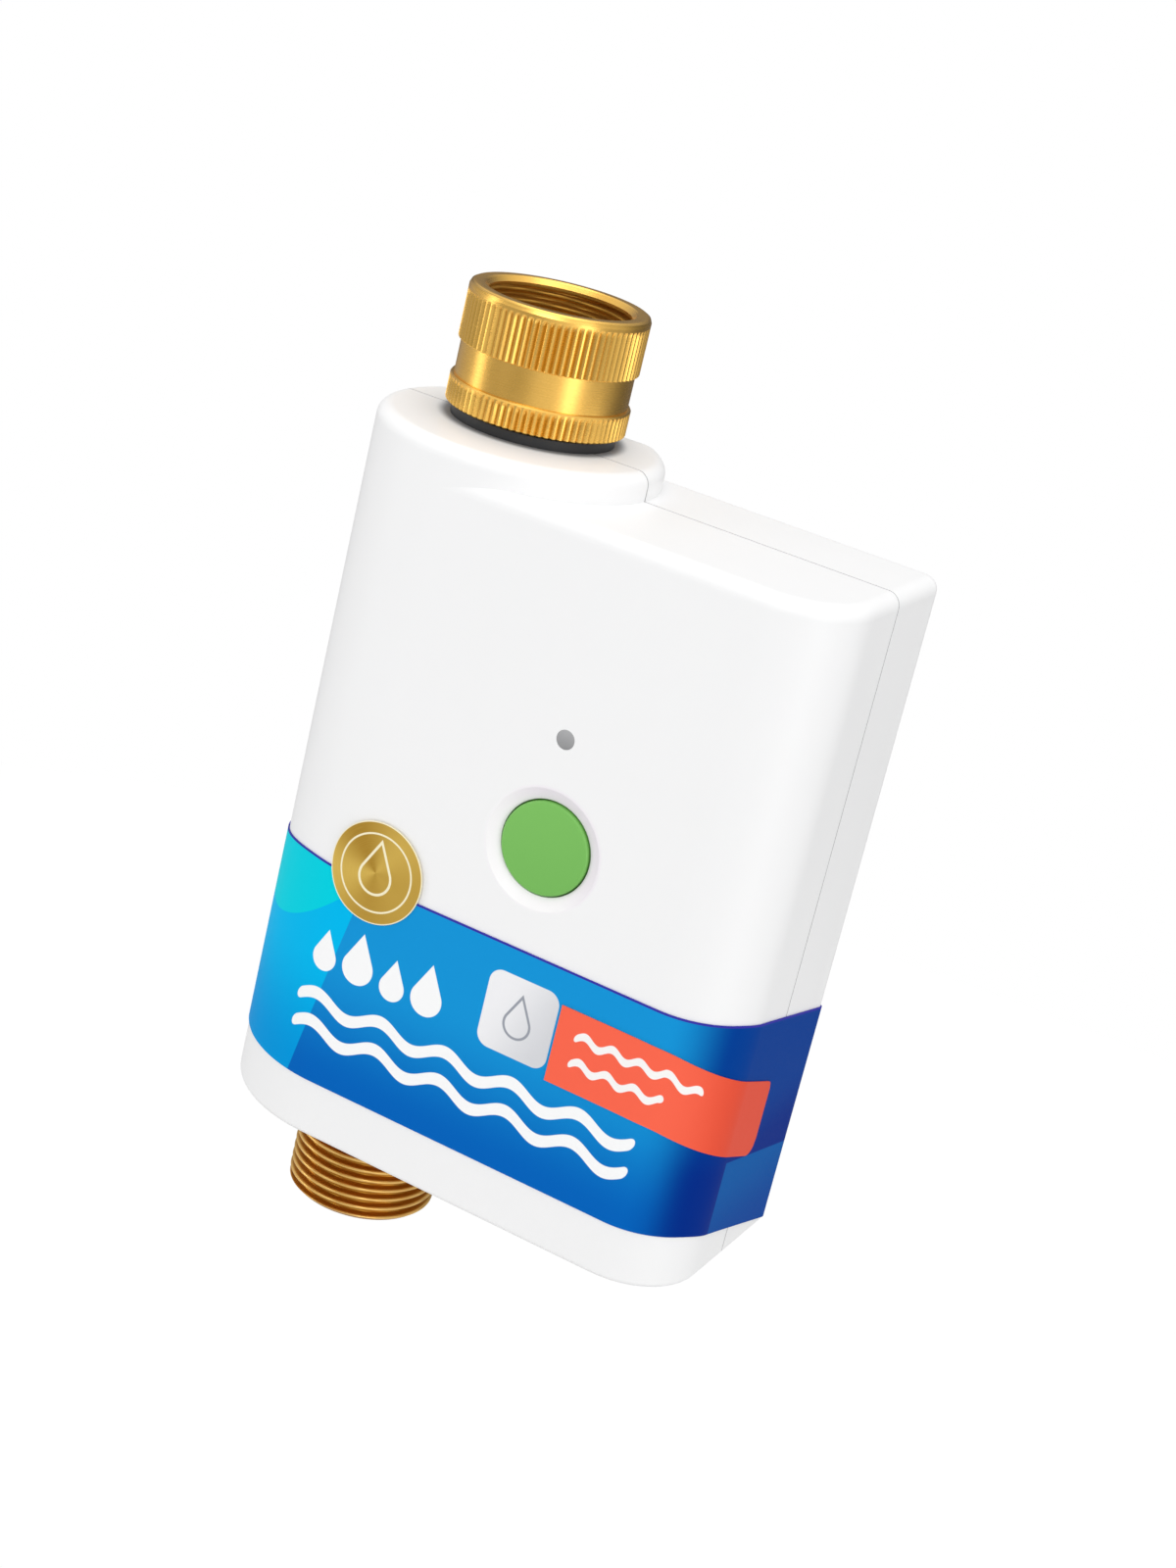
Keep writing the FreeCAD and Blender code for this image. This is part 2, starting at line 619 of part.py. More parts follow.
def valve_body():
    """Ball valve body with a screwed socket at each end and a boss for the stem."""
    cavity_r = BALL_R + 0.6
    seat_end = BALL_R + SEAT_FAR
    body = joined([rod(VALVE_R, 0, 0, VALVE_BOTTOM, AXIS_Z, VALVE_TOP - VALVE_BOTTOM),
                   rod(BOSS_R, 0, 0, STEM_Z, AXIS_X, PAD_X - BOSS_PAD_T / 2),
                   block(PAD_X - BOSS_PAD_T, PAD_X, -BOSS_PAD_Y, BOSS_PAD_Y, STEM_Z - BOSS_PAD_Z,
                         STEM_Z + BOSS_PAD_Z)])
    body = body.cut(rod(TAIL_R + FIT, 0, 0, VALVE_TOP - SOCKET_DEEP, AXIS_Z, SOCKET_DEEP + 1))
    body = body.cut(rod(PORT_R + 1.0, 0, 0, STEM_Z, AXIS_Z, 40))
    body = body.cut(rod(cavity_r, 0, 0, STEM_Z - seat_end, AXIS_Z, 2 * seat_end))
    body = body.cut(rod(OUTLET_SOCKET_R + FIT, 0, 0, VALVE_BOTTOM - 1, AXIS_Z,
                        STEM_Z - seat_end - VALVE_BOTTOM + 1))
    body = body.cut(rod(STEM_R + RUN_FIT, 0, 0, STEM_Z, AXIS_X, 40))
    body = body.cut(rod(STEM_FLANGE_R + 0.2, 0, 0, STEM_Z, AXIS_X, stem_flange_x() + STEM_FLANGE_T + 0.1))
    for x in o_ring_places():
        body = body.cut(rod(STEM_R + 2 * O_RING_R + 0.1, x - O_RING_R - 0.1, 0, STEM_Z, AXIS_X,
                            2 * O_RING_R + 0.2))
    for y in pad_screw_places():
        body = body.cut(rod(GEAR_SCREW_R, PAD_X - BOSS_PAD_T - 1, y, STEM_Z, AXIS_X, 9))
    return body


def stem_flange_x():
    return BALL_R + 0.15


def o_ring_places():
    first = stem_flange_x() + STEM_FLANGE_T + 2.2
    return [first, first + 2 * O_RING_R + 1.0]


def pad_screw_places():
    return [BOSS_PAD_Y - 2.2, 2.2 - BOSS_PAD_Y]


def ball_seats():
    """Two plastic rings with spherical seats, above and below the ball."""
    seats = []
    sphere = Part.makeSphere(BALL_R + RUN_FIT, vec(0, 0, STEM_Z))
    for low in (STEM_Z + SEAT_NEAR, STEM_Z - BALL_R - SEAT_FAR):
        ring = tube(BALL_R + 0.6 - FIT, PORT_R + 0.4, 0, 0, low, AXIS_Z, BALL_R + SEAT_FAR - SEAT_NEAR)
        seats.append(ring.cut(sphere))
    return seats


def valve_ball():
    """Shut at rest: the port lies along Y, and a quarter turn brings it upright."""
    ball = Part.makeSphere(BALL_R, vec(0, 0, STEM_Z))
    ball = ball.cut(rod(PORT_R, 0, -BALL_R - 1, STEM_Z, AXIS_Y, 2 * BALL_R + 2))
    half = TANG_T / 2 + FIT
    return ball.cut(block(BALL_R - TANG_DEEP, BALL_R + 1, -BALL_R, BALL_R, STEM_Z - half, STEM_Z + half))


def valve_stem():
    tang = block(BALL_R - TANG_DEEP + FIT, stem_flange_x() + 0.2, -STEM_R, STEM_R, STEM_Z - TANG_T / 2,
                 STEM_Z + TANG_T / 2)
    flange = rod(STEM_FLANGE_R, stem_flange_x(), 0, STEM_Z, AXIS_X, STEM_FLANGE_T)
    shaft = rod(STEM_R, stem_flange_x(), 0, STEM_Z, AXIS_X, OUT_X + OUT_W - stem_flange_x())
    stem = joined([tang, flange, shaft])
    flat = stem_flat()
    return stem.cut(block(CAM_X, 99, flat, 99, -199, 99))


def stem_flat():
    """The D-flat that drives the stem lies at this distance from its axis."""
    return STEM_R * 0.72


def stem_o_rings():
    rings = []
    for x in o_ring_places():
        rings.append(Part.makeTorus(STEM_R + O_RING_R + 0.09, O_RING_R, vec(x, 0, STEM_Z), AXIS_X))
    return rings


def outlet_nipple():
    """Brass outlet: its upper end clamps the lower seat, its lower end is the male hose thread."""
    top = STEM_Z - BALL_R - SEAT_FAR
    thread = rod(THREAD_MAJOR_R, 0, 0, OUTLET_END, AXIS_Z, VALVE_BOTTOM - OUTLET_END)
    thread = thread.cut(thread_groove(THREAD_MAJOR_R + PLAY, THREAD_MINOR_R, OUTLET_END - 0.66 * THREAD_PITCH,
                                      CASE_BOTTOM + THREAD_RUN_IN))
    trim = rod(THREAD_MAJOR_R + 2, 0, 0, OUTLET_END, AXIS_Z, OUTLET_CHAMFER)
    tip = cone(THREAD_MAJOR_R - OUTLET_CHAMFER, THREAD_MAJOR_R, 0, 0, OUTLET_END, AXIS_Z, OUTLET_CHAMFER)
    thread = thread.cut(trim.cut(tip))
    nipple = joined([thread, rod(OUTLET_SOCKET_R, 0, 0, VALVE_BOTTOM, AXIS_Z, top - VALVE_BOTTOM)])
    nipple = nipple.cut(rod(OUTLET_BORE_R, 0, 0, OUTLET_END - 1, AXIS_Z, VALVE_BOTTOM - OUTLET_END + 1))
    return nipple.cut(rod(PORT_R + 1.0, 0, 0, VALVE_BOTTOM - 1, AXIS_Z, 40))


def involute(base_r, radius):
    """Polar angle of the involute where it reaches the radius."""
    if radius <= base_r:
        return 0.0
    a = math.acos(base_r / radius)
    return math.tan(a) - a


def gear(module, teeth, x, width, y, z, toward):
    """A spur gear along X with a tooth centred on the given angle in the Y-Z plane."""
    pitch_r = module * teeth / 2
    base_r = pitch_r * math.cos(math.radians(PRESSURE_DEG))
    tip_r = pitch_r + ADDENDUM * module
    root_r = pitch_r - DEDENDUM * module
    half = math.pi / (2 * teeth) - BACKLASH / 4 / pitch_r
    flank = []
    start_r = max(root_r, base_r)
    for i in range(5):
        r = start_r + (tip_r - start_r) * i / 4
        flank.append((r, half + involute(base_r, pitch_r) - involute(base_r, r)))
    if root_r < base_r:
        flank.insert(0, (root_r, flank[0][1]))
    points = []
    for k in range(teeth):
        middle = toward + 2 * math.pi * k / teeth
        for r, a in flank:
            points.append((r, middle - a))
        for r, a in reversed(flank):
            points.append((r, middle + a))
    corners = [vec(x, y + r * math.cos(a), z + r * math.sin(a)) for r, a in points]
    return Part.Face(Part.makePolygon(corners + corners[:1])).extrude(vec(width, 0, 0))


def angle_to(y0, z0, y1, z1):
    return math.atan2(z1 - z0, y1 - y0)


def output_gear():
    """Wheel on the stem with the cam that works the limit switches."""
    toward = angle_to(0, STEM_Z, IDLER_Y, IDLER_Z)
    wheel = gear(OUT_MODULE, OUT_TEETH, OUT_X, OUT_W, 0, STEM_Z, toward)
    cam = rod(CAM_R, CAM_X, 0, STEM_Z, AXIS_X, CAM_W)
    lobe = block(CAM_X, OUT_X, -CAM_LOBE_R + 1.2, 0, STEM_Z - 1.2, STEM_Z + 1.2)
    nose = rod(1.2, CAM_X, -CAM_LOBE_R + 1.2, STEM_Z, AXIS_X, CAM_W)
    bore = rod(STEM_R + FIT, CAM_X - 1, 0, STEM_Z, AXIS_X, CAM_W + OUT_W + 2)
    bore = bore.cut(block(CAM_X - 2, 99, stem_flat() + FIT, 99, -199, 99))
    return joined([wheel, cam, lobe, nose]).cut(bore)


def gear_clip():
    """Screw and washer that hold the wheel on the stem's end."""
    return tube(STEM_R + 1.4, 0.8, OUT_X + OUT_W, 0, STEM_Z, AXIS_X, 0.5)


def idler_gear():
    """Compound wheel: its small end drives the output wheel, its large end meets the motor pinion."""
    small_x = OUT_X - 0.4
    to_output = angle_to(IDLER_Y, IDLER_Z, 0, STEM_Z) + math.pi / SMALL_TEETH
    small = gear(OUT_MODULE, SMALL_TEETH, small_x, BIG_X - small_x, IDLER_Y, IDLER_Z, to_output)
    to_motor = angle_to(IDLER_Y, IDLER_Z, MOTOR_Y, MOTOR_Z)
    big = gear(BIG_MODULE, BIG_TEETH, BIG_X, BIG_W, IDLER_Y, IDLER_Z, to_motor)
    hub = rod(AXLE_R + 1.0, CAM_X, IDLER_Y, IDLER_Z, AXIS_X, small_x - CAM_X)
    collar = rod(AXLE_R + 1.2, BIG_X + BIG_W, IDLER_Y, IDLER_Z, AXIS_X, COVER_X - BIG_X - BIG_W - PLAY)
    bore = rod(AXLE_R + RUN_FIT, CAM_X - 1, IDLER_Y, IDLER_Z, AXIS_X, COVER_X - CAM_X + 2)
    return joined([small, big, hub, collar]).cut(bore)


def idler_axle():
    return rod(AXLE_R, BASE_X + 0.2, IDLER_Y, IDLER_Z, AXIS_X, MOTOR_X - BASE_X - 0.2)


def motor_pinion():
    to_idler = angle_to(MOTOR_Y, MOTOR_Z, IDLER_Y, IDLER_Z) + math.pi / PINION_TEETH
    x = BIG_X - (PINION_W - BIG_W) / 2
    pinion = gear(BIG_MODULE, PINION_TEETH, x, PINION_W, MOTOR_Y, MOTOR_Z, to_idler)
    return pinion.cut(rod(AXLE_R - FIT, x - 1, MOTOR_Y, MOTOR_Z, AXIS_X, PINION_W + 2))


def motor_shaft():
    x = BIG_X - (PINION_W - BIG_W) / 2 - 0.2
    return rod(AXLE_R - FIT, x, MOTOR_Y, MOTOR_Z, AXIS_X, MOTOR_X + SHAFT_IN - x)


def motor_can():
    """Drawn steel can with two flats and a bearing boss that sits in the cover."""
    can = rod(MOTOR_R, MOTOR_X, MOTOR_Y, MOTOR_Z, AXIS_X, MOTOR_LONG - MOTOR_CAP_T)
    flats = block(MOTOR_X - 1, 99, MOTOR_Y - MOTOR_FLAT, MOTOR_Y + MOTOR_FLAT, -199, 99)
    can = can.common(flats)
    boss = rod(MOTOR_BOSS_R, MOTOR_X - MOTOR_BOSS_T, MOTOR_Y, MOTOR_Z, AXIS_X, MOTOR_BOSS_T + 0.1)
    can = joined([can, boss])
    hole = rod(AXLE_R + FIT, MOTOR_X - MOTOR_BOSS_T - 1, MOTOR_Y, MOTOR_Z, AXIS_X,
               MOTOR_BOSS_T + 1 + SHAFT_IN + PLAY)
    return can.cut(hole)


def motor_end_cap():
    x = MOTOR_X + MOTOR_LONG - MOTOR_CAP_T
    cap = rod(MOTOR_R - 0.3, x, MOTOR_Y, MOTOR_Z, AXIS_X, MOTOR_CAP_T)
    return cap.common(block(x, 99, MOTOR_Y - MOTOR_FLAT + 0.3, MOTOR_Y + MOTOR_FLAT - 0.3, -199, 99))


def motor_lug_places():
    return [MOTOR_Z - 6.0, MOTOR_Z + 6.0]


def motor_lugs():
    x = MOTOR_X + MOTOR_LONG
    return [block(x, x + 3.2, MOTOR_Y - 1.2, MOTOR_Y + 1.2, z - 0.2, z + 0.2) for z in motor_lug_places()]


def post_places():
    """Posts of the gearbox cover, round the wheels."""
    return [(9.3, STEM_Z + 14.5), (-19.0, STEM_Z - 9.1), (9.4, STEM_Z - 9.7)]


def plate(x, thick, holes):
    sides = [y for y, z in post_places()]
    margin = POST_R + 0.1
    outline = block(x, x + thick, min(sides) - margin, max(sides) + margin,
                    min(z for y, z in post_places()) - margin, IDLER_Z + BIG_PITCH_R - 0.5)
    for radius, y, z in holes:
        outline = outline.cut(rod(radius, x - 1, y, z, AXIS_X, thick + 2))
    return outline


def gearbox_base():
    """Plate screwed to the valve's boss; it carries one end of the idler axle and the limit switches."""
    holes = [(STEM_R + PLAY, 0, STEM_Z), (AXLE_R, IDLER_Y, IDLER_Z)]
    holes += [(GEAR_SCREW_R + FIT, y, STEM_Z) for y in pad_screw_places()]
    holes += [(GEAR_SCREW_R, y, z) for y, z in post_places()]
    base = plate(BASE_X, PLATE_T, holes)
    for y in pad_screw_places():
        base = base.cut(cone(GEAR_SCREW_R + FIT, 2.1, BASE_X + PLATE_T - 1.1, y, STEM_Z, AXIS_X, 1.1))
    return base


def base_screws():
    screws = []
    for y in pad_screw_places():
        head = cone(GEAR_SCREW_R, 2.0, BASE_X + PLATE_T - 1.05, y, STEM_Z, AXIS_X, 1.0)
        shank = rod(GEAR_SCREW_R, PAD_X - BOSS_PAD_T, y, STEM_Z, AXIS_X, BOSS_PAD_T + PLATE_T - 1.0)
        screws.append(joined([head, shank]))
    return screws


def gearbox_cover():
    """Plate with three posts; the motor is screwed to its outer face."""
    holes = [(AXLE_R, IDLER_Y, IDLER_Z), (MOTOR_BOSS_R + FIT, MOTOR_Y, MOTOR_Z)]
    holes += [(GEAR_SCREW_R + FIT, MOTOR_Y, z) for z in motor_screw_places()]
    cover = plate(COVER_X, PLATE_T, holes)
    post_x = BASE_X + PLATE_T
    posts = [rod(POST_R, post_x, y, z, AXIS_X, COVER_X - post_x + 0.1) for y, z in post_places()]
    cover = joined([cover] + posts)
    for y, z in post_places():
        cover = cover.cut(rod(GEAR_SCREW_R + FIT, post_x - 1, y, z, AXIS_X, 40))
    return cover


def gearbox_screws():
    screws = []
    for y, z in post_places():
        head = rod(1.8, MOTOR_X, y, z, AXIS_X, 1.3)
        head = head.cut(block(MOTOR_X + 0.7, MOTOR_X + 2, y - 1.5, y + 1.5, z - 0.25, z + 0.25))
        screws.append(joined([head, rod(GEAR_SCREW_R, BASE_X, y, z, AXIS_X, MOTOR_X - BASE_X + 0.1)]))
    return screws


def motor_screw_places():
    return [MOTOR_Z - 6.5, MOTOR_Z + 6.5]


def motor_screws():
    """Short screws from the wheel side through the cover into the motor's face."""
    screws = []
    for z in motor_screw_places():
        head = rod(1.6, COVER_X - 0.8, MOTOR_Y, z, AXIS_X, 0.8)
        screws.append(joined([head, rod(GEAR_SCREW_R, COVER_X - 0.1, MOTOR_Y, z, AXIS_X, PLATE_T)]))
    return screws


def limit_switches():
    """One is pressed by the cam with the valve shut, the other with it open."""
    reach = CAM_LOBE_R + PLAY
    x0 = BASE_X + PLATE_T
    x1 = CAM_X + CAM_W - PLAY
    long = SWITCH_LONG / 2
    shut = block(x0, x1, -reach - SWITCH_DEEP, -reach, STEM_Z - long, STEM_Z + long)
    opened = block(x0, x1, -long, long, STEM_Z - reach - SWITCH_DEEP * 0.7, STEM_Z - reach)
    return [shut, opened]


def board():
    plate_form = block(BOARD_X[0], BOARD_X[1], BOARD_Y, BOARD_Y + BOARD_T, BOARD_Z[0], BOARD_Z[1])
    for x, z in board_screw_places():
        plate_form = plate_form.cut(rod(BOARD_SCREW_R + 0.2, x, BOARD_Y - 1, z, AXIS_Y, BOARD_T + 2))
    return plate_form


def board_screws():
    screws = []
    for x, z in board_screw_places():
        one = screw(BOARD_SCREW_R, BOARD_HEAD_R, BOARD_HEAD, BOARD_T + BOARD_SCREW_DEEP - PLAY)
        one.translate(vec(x, BOARD_Y + BOARD_T, z))
        screws.append(one)
    return screws


def front_chip(x, z, wide, high, thick):
    """A box on the front face of the board."""
    return block(x - wide / 2, x + wide / 2, BOARD_Y - thick, BOARD_Y, z - high / 2, z + high / 2)


def radio_shield():
    z = BOARD_TOP - SHIELD_DROP
    can = front_chip(SHIELD_X, z, SHIELD_W, SHIELD_H, SHIELD_DEEP)
    return can.cut(front_chip(SHIELD_X, z, SHIELD_W - 2 * SHIELD_T, SHIELD_H - 2 * SHIELD_T,
                              SHIELD_DEEP - SHIELD_T))


def chips():
    return [front_chip(x, BOARD_TOP - drop, wide, high, thick) for x, drop, wide, high, thick in CHIPS]


def storage_capacitor():
    """Lies flat on the rear face of the board."""
    y = BOARD_Y + BOARD_T + CAN_R + SHIELD_T
    z = BOARD_TOP - CAN_DROP
    can = rod(CAN_R, CAN_X, y, z, AXIS_X, CAN_LONG)
    foot = block(CAN_X + 1, CAN_X + CAN_LONG - 1, BOARD_Y + BOARD_T, y, z - CAN_FOOT, z + CAN_FOOT)
    return joined([can, foot.cut(rod(CAN_R, CAN_X, y, z, AXIS_X, CAN_LONG))])


def lead_connectors():
    """Three white two-way headers along the board's lower edge, on its rear face."""
    y = BOARD_Y + BOARD_T
    low = BOARD_Z[0] + PLUG_EDGE
    return [block(x - PLUG_W / 2, x + PLUG_W / 2, y, y + PLUG_DEEP, low, low + PLUG_W) for x in PLUGS_X]


def push_switch():
    """Square switch body behind the button, with a well for its plunger."""
    front = switch_front()
    half = SWITCH_W / 2
    body = block(BUTTON_X - half, BUTTON_X + half, front, BOARD_Y, BUTTON_Z - half, BUTTON_Z + half)
    deep = PLUNGER_LONG - PLUNGER_OUT + BUTTON_TRAVEL
    return body.cut(rod(PLUNGER_R + RUN_FIT, BUTTON_X, front - 1, BUTTON_Z, AXIS_Y, deep + 1 + FIT))


def switch_front():
    return BOARD_Y - SWITCH_T


def button_cap():
    """Green cap with a flange that stops it behind the wall, and a short ram."""
    face = FRONT_Y + BUTTON_SINK
    back = INNER_FRONT + PLAY / 2
    cap = rod(BUTTON_R, BUTTON_X, face, BUTTON_Z, AXIS_Y, back - face + 0.1)
    rim = [e for e in cap.Edges if all(abs(v.Y - face) < 1e-6 for v in e.Vertexes)]
    cap = cap.makeFillet(BUTTON_EDGE, rim)
    flange = rod(BUTTON_R + PLAY + BUTTON_RIM, BUTTON_X, back, BUTTON_Z, AXIS_Y, BUTTON_FLANGE)
    ram = rod(BUTTON_RAM_R, BUTTON_X, back, BUTTON_Z, AXIS_Y, switch_front() - PLUNGER_OUT - back)
    return joined([cap, flange, ram])


def switch_plunger():
    return rod(PLUNGER_R, BUTTON_X, switch_front() - PLUNGER_OUT, BUTTON_Z, AXIS_Y, PLUNGER_LONG)


def status_led():
    return front_chip(LIGHT_X, LIGHT_Z, 2 * LIGHT_R, 2 * LIGHT_R - PLAY, LED_T)


def light_pipe():
    """Frosted pipe from the LED to the front face, with a flange behind the wall and a shallow dimple."""
    face = FRONT_Y + LIGHT_SINK
    pipe = rod(LIGHT_R, LIGHT_X, face, LIGHT_Z, AXIS_Y, BOARD_Y - LED_T - face)
    flange = rod(LIGHT_R + LIGHT_FLANGE, LIGHT_X, INNER_FRONT, LIGHT_Z, AXIS_Y, LIGHT_FLANGE)
    dimple = Part.makeSphere(LIGHT_DIMPLE_R, vec(LIGHT_X, face - LIGHT_DIMPLE_R + LIGHT_R / 5, LIGHT_Z))
    return joined([pipe, flange]).cut(dimple)


def cell_places():
    return [BAY_X - CELL_PITCH / 2, BAY_X + CELL_PITCH / 2]


def battery_cells():
    """Two AA cells side by side, head to tail."""
    low = BAY_BOTTOM + CONTACT_ROOM
    cells = []
    for x, up in zip(cell_places(), (True, False)):
        can = rod(CELL_R, x, CELL_Y, low + (0 if up else CELL_NUB), AXIS_Z, CELL_LONG - CELL_NUB)
        can = can.makeFillet(CELL_EDGE, can.Edges[0:3:2])
        nub_low = low + CELL_LONG - CELL_NUB - 0.1 if up else low
        nub = rod(CELL_NUB_R, x, CELL_Y, nub_low, AXIS_Z, CELL_NUB + 0.1)
        cells.append(joined([can, nub]))
    return cells


def contact_plates():
    """A bridge across the bottom ends, and two plates at the top ends with tails through the bay's floor."""
    y0, y1 = CELL_Y - CONTACT_HALF, CELL_Y + CONTACT_HALF
    left, right = cell_places()
    plates = [block(left - CONTACT_HALF, right + CONTACT_HALF, y0, y1, BAY_BOTTOM, BAY_BOTTOM + CONTACT_T)]
    for x in (left, right):
        wide = block(x - CONTACT_HALF, x + CONTACT_HALF, y0, y1, BAY_TOP - CONTACT_T, BAY_TOP)
        plates.append(joined([wide, tail_form(x, 0)]))
    return plates


def tail_form(x, grow):
    half = TAIL_W / 2 + grow
    y0 = battery_lead_y() - TAIL_W / 2 - grow
    return block(x - half, x + half, y0, CELL_Y, BAY_TOP - CONTACT_T - grow, BAY_TOP)


def battery_lead_y():
    return BAY_FLOOR - BAY_WALL - TAIL_OUT


def leaf(x, z, away):
    """A bent strip that springs against the end of a cell; away is the side of its plate."""
    reach = CONTACT_ROOM - CONTACT_T
    half = CONTACT_HALF * 0.8
    profile = [(-half, 0), (half / 2, reach), (half, reach * 0.6), (half, reach * 0.6 - LEAF_T),
               (half / 2 - LEAF_T / 3, reach - LEAF_T), (LEAF_T * 3 - half, 0)]
    points = [vec(x + along, 0, -away * out) for along, out in profile]
    strip = Part.Face(Part.makePolygon(points + points[:1])).extrude(vec(0, half, 0))
    strip.translate(vec(0, CELL_Y - half / 2, z))
    return strip


def contact_springs():
    left, right = cell_places()
    low, high = BAY_BOTTOM + CONTACT_T, BAY_TOP - CONTACT_T
    return [leaf(left, low, -1), leaf(right, high, 1), leaf(left, high, 1), leaf(right, low, -1)]


def battery_door():
    """Cover plate flush with the rear face, with a sunk seat for its captive screw."""
    plate_form = bay_block(LIP, CASE_REAR - DOOR_T, CASE_REAR, DOOR_TONGUE)
    upright = [e for e in plate_form.Edges if abs(e.Vertexes[0].Y - e.Vertexes[-1].Y) > DOOR_T / 2]
    plate_form = plate_form.makeFillet(DOOR_T / 2, upright)
    pad = rod(DOOR_SCREW_HEAD_R + DOOR_PAD, BAY_X, SEAT_PLANE - DOOR_PAD_DEEP, DOOR_SCREW_Z, AXIS_Y,
              CASE_REAR - SEAT_PLANE + DOOR_PAD_DEEP - GRIP_DEEP)
    door = joined([plate_form, pad])
    seat = door_screw_seat()
    door = door.cut(rod(DOOR_SCREW_HEAD_R + PLAY, BAY_X, seat, DOOR_SCREW_Z, AXIS_Y, DOOR_T + 1))
    for i in range(GRIPS):
        z = BAY_BOTTOM - LIP + 1.5 * GRIP_PITCH + GRIP_PITCH * i
        door = door.cut(block(BAY_X - GRIP_LONG / 2, BAY_X + GRIP_LONG / 2, CASE_REAR - GRIP_DEEP,
                              CASE_REAR + 1, z, z + GRIP_W))
    return door.cut(rod(DOOR_SCREW_R + FIT, BAY_X, seat - DOOR_SCREW_LONG, DOOR_SCREW_Z, AXIS_Y,
                        DOOR_SCREW_LONG + 1))


def door_screw_seat():
    return CASE_REAR - DOOR_SCREW_HEAD - PLAY


def door_screw():
    one = screw(DOOR_SCREW_R, DOOR_SCREW_HEAD_R, DOOR_SCREW_HEAD, DOOR_SCREW_LONG)
    one.translate(vec(BAY_X, door_screw_seat(), DOOR_SCREW_Z))
    return one


def door_seal():
    """Flat silicone frame squeezed between door and lip."""
    outer = bay_block(LIP - 0.4, SEAT_PLANE, CASE_REAR - DOOR_T)
    return outer.cut(bay_block(LIP - 0.4 - SEAL_W, SEAT_PLANE - 1, CASE_REAR))


def lead(points, radius):
    """A round wire along straight runs joined by tangent arcs."""
    edges = []
    start = points[0]
    for a, b, c in zip(points, points[1:], points[2:]):
        before = (a - b).normalize()
        after = (c - b).normalize()
        turn = math.pi - before.getAngle(after)
        back = LEAD_BEND * math.tan(turn / 2)
        enter = b + before * back
        leave = b + after * back
        middle_way = (before + after).normalize()
        middle = b + middle_way * (LEAD_BEND / math.cos(turn / 2) - LEAD_BEND)
        edges.append(Part.makeLine(start, enter))
        edges.append(Part.Arc(enter, middle, leave).toShape())
        start = leave
    edges.append(Part.makeLine(start, points[-1]))
    along = points[1] - points[0]
    section = Part.Wire(Part.makeCircle(radius, points[0], along))
    sweep = Part.BRepOffsetAPI.MakePipeShell(Part.Wire(edges))
    sweep.add(section)
    sweep.build()
    sweep.makeSolid()
    length = sum(e.Length for e in edges)
    print("lead", round(length, 1), "mm")
    return sweep.shape()


def plug_point(index, side):
    """Where a lead leaves its connector, at the connector's lower face."""
    return vec(PLUGS_X[index] + PLUG_W / 4 * side, BOARD_Y + BOARD_T + PLUG_DEEP / 2, BOARD_Z[0] + PLUG_EDGE)


def motor_leads():
    """From the motor's two lugs up to the right-hand connector."""
    x = MOTOR_X + MOTOR_LONG + 1.6
    leads = []
    for z, side in zip(motor_lug_places(), (1, -1)):
        end = plug_point(2, side)
        y = MOTOR_Y + side * 1.9
        level = BOARD_Z[0] - 7.0 + side
        leads.append(lead([vec(x, y, z), vec(x, y, level), vec(end.x, end.y, level), end], LEAD_R))
    return leads


def switch_leads():
    """From the limit switch up past the plates to the left-hand connector."""
    x = BASE_X + PLATE_T + 1.0
    start = -CAM_LOBE_R - PLAY - SWITCH_DEEP
    leads = []
    for side in (1, -1):
        end = plug_point(0, side)
        y = start - 4.6 + side * 1.2
        z = STEM_Z + side * 2.0
        level = BOARD_Z[0] - 4.6 - side
        turn = vec(x, y, level)
        leads.append(lead([vec(x, start, z), vec(x, y, z), turn, vec(end.x, end.y, level), end], LEAD_R))
    return leads


def battery_leads():
    """From the contact tails behind the bay's floor down to the middle connector."""
    leads = []
    y = battery_lead_y()
    for x, side in zip(cell_places(), (-1, 1)):
        end = plug_point(1, side)
        level = BOARD_Z[0] - 4.6
        start = vec(x, y, BAY_TOP - CONTACT_T)
        leads.append(lead([start, vec(x, y, level), vec(end.x, end.y, level), end], LEAD_R))
    return leads


def label():
    """Printed sticker wrapped round the lower body; its edges fall towards the rear on the right side."""
    skin = ring_form(LABEL_LIFT, LABEL_T, LABEL_BOTTOM - 20, LABEL_TOP + 1)
    return skin.common(slanted(CASE_REAR - LABEL_BACK, LABEL_TOP, LABEL_BOTTOM, LABEL_LEVEL, LABEL_FALL_TOP,
                               LABEL_FALL_BOTTOM, -60.0))


def slanted(end_y, top, bottom, level, fall_top, fall_bottom, left):
    """A space between two level edges that fall towards the rear right of the front corner."""
    start = FRONT_Y + level
    drop = end_y - start
    corner = CASE_RIGHT - FRONT_CORNER_R
    profile = [vec(corner, FRONT_Y - 5, top), vec(corner, start, top),
               vec(corner, end_y, top - fall_top * drop), vec(corner, end_y, bottom - fall_bottom * drop),
               vec(corner, start, bottom), vec(corner, FRONT_Y - 5, bottom)]
    right = Part.Face(Part.makePolygon(profile + profile[:1])).extrude(vec(40, 0, 0))
    return joined([right, block(left, corner, FRONT_Y - 5, end_y, bottom, top)])


def disc_sticker():
    skin = ring_form(LABEL_LIFT + LABEL_T + FIT, STICKER_T, DISC_Z - 20, DISC_Z + 20)
    return skin.common(rod(DISC_R, DISC_X, FRONT_Y - 10, DISC_Z, AXIS_Y, 30))


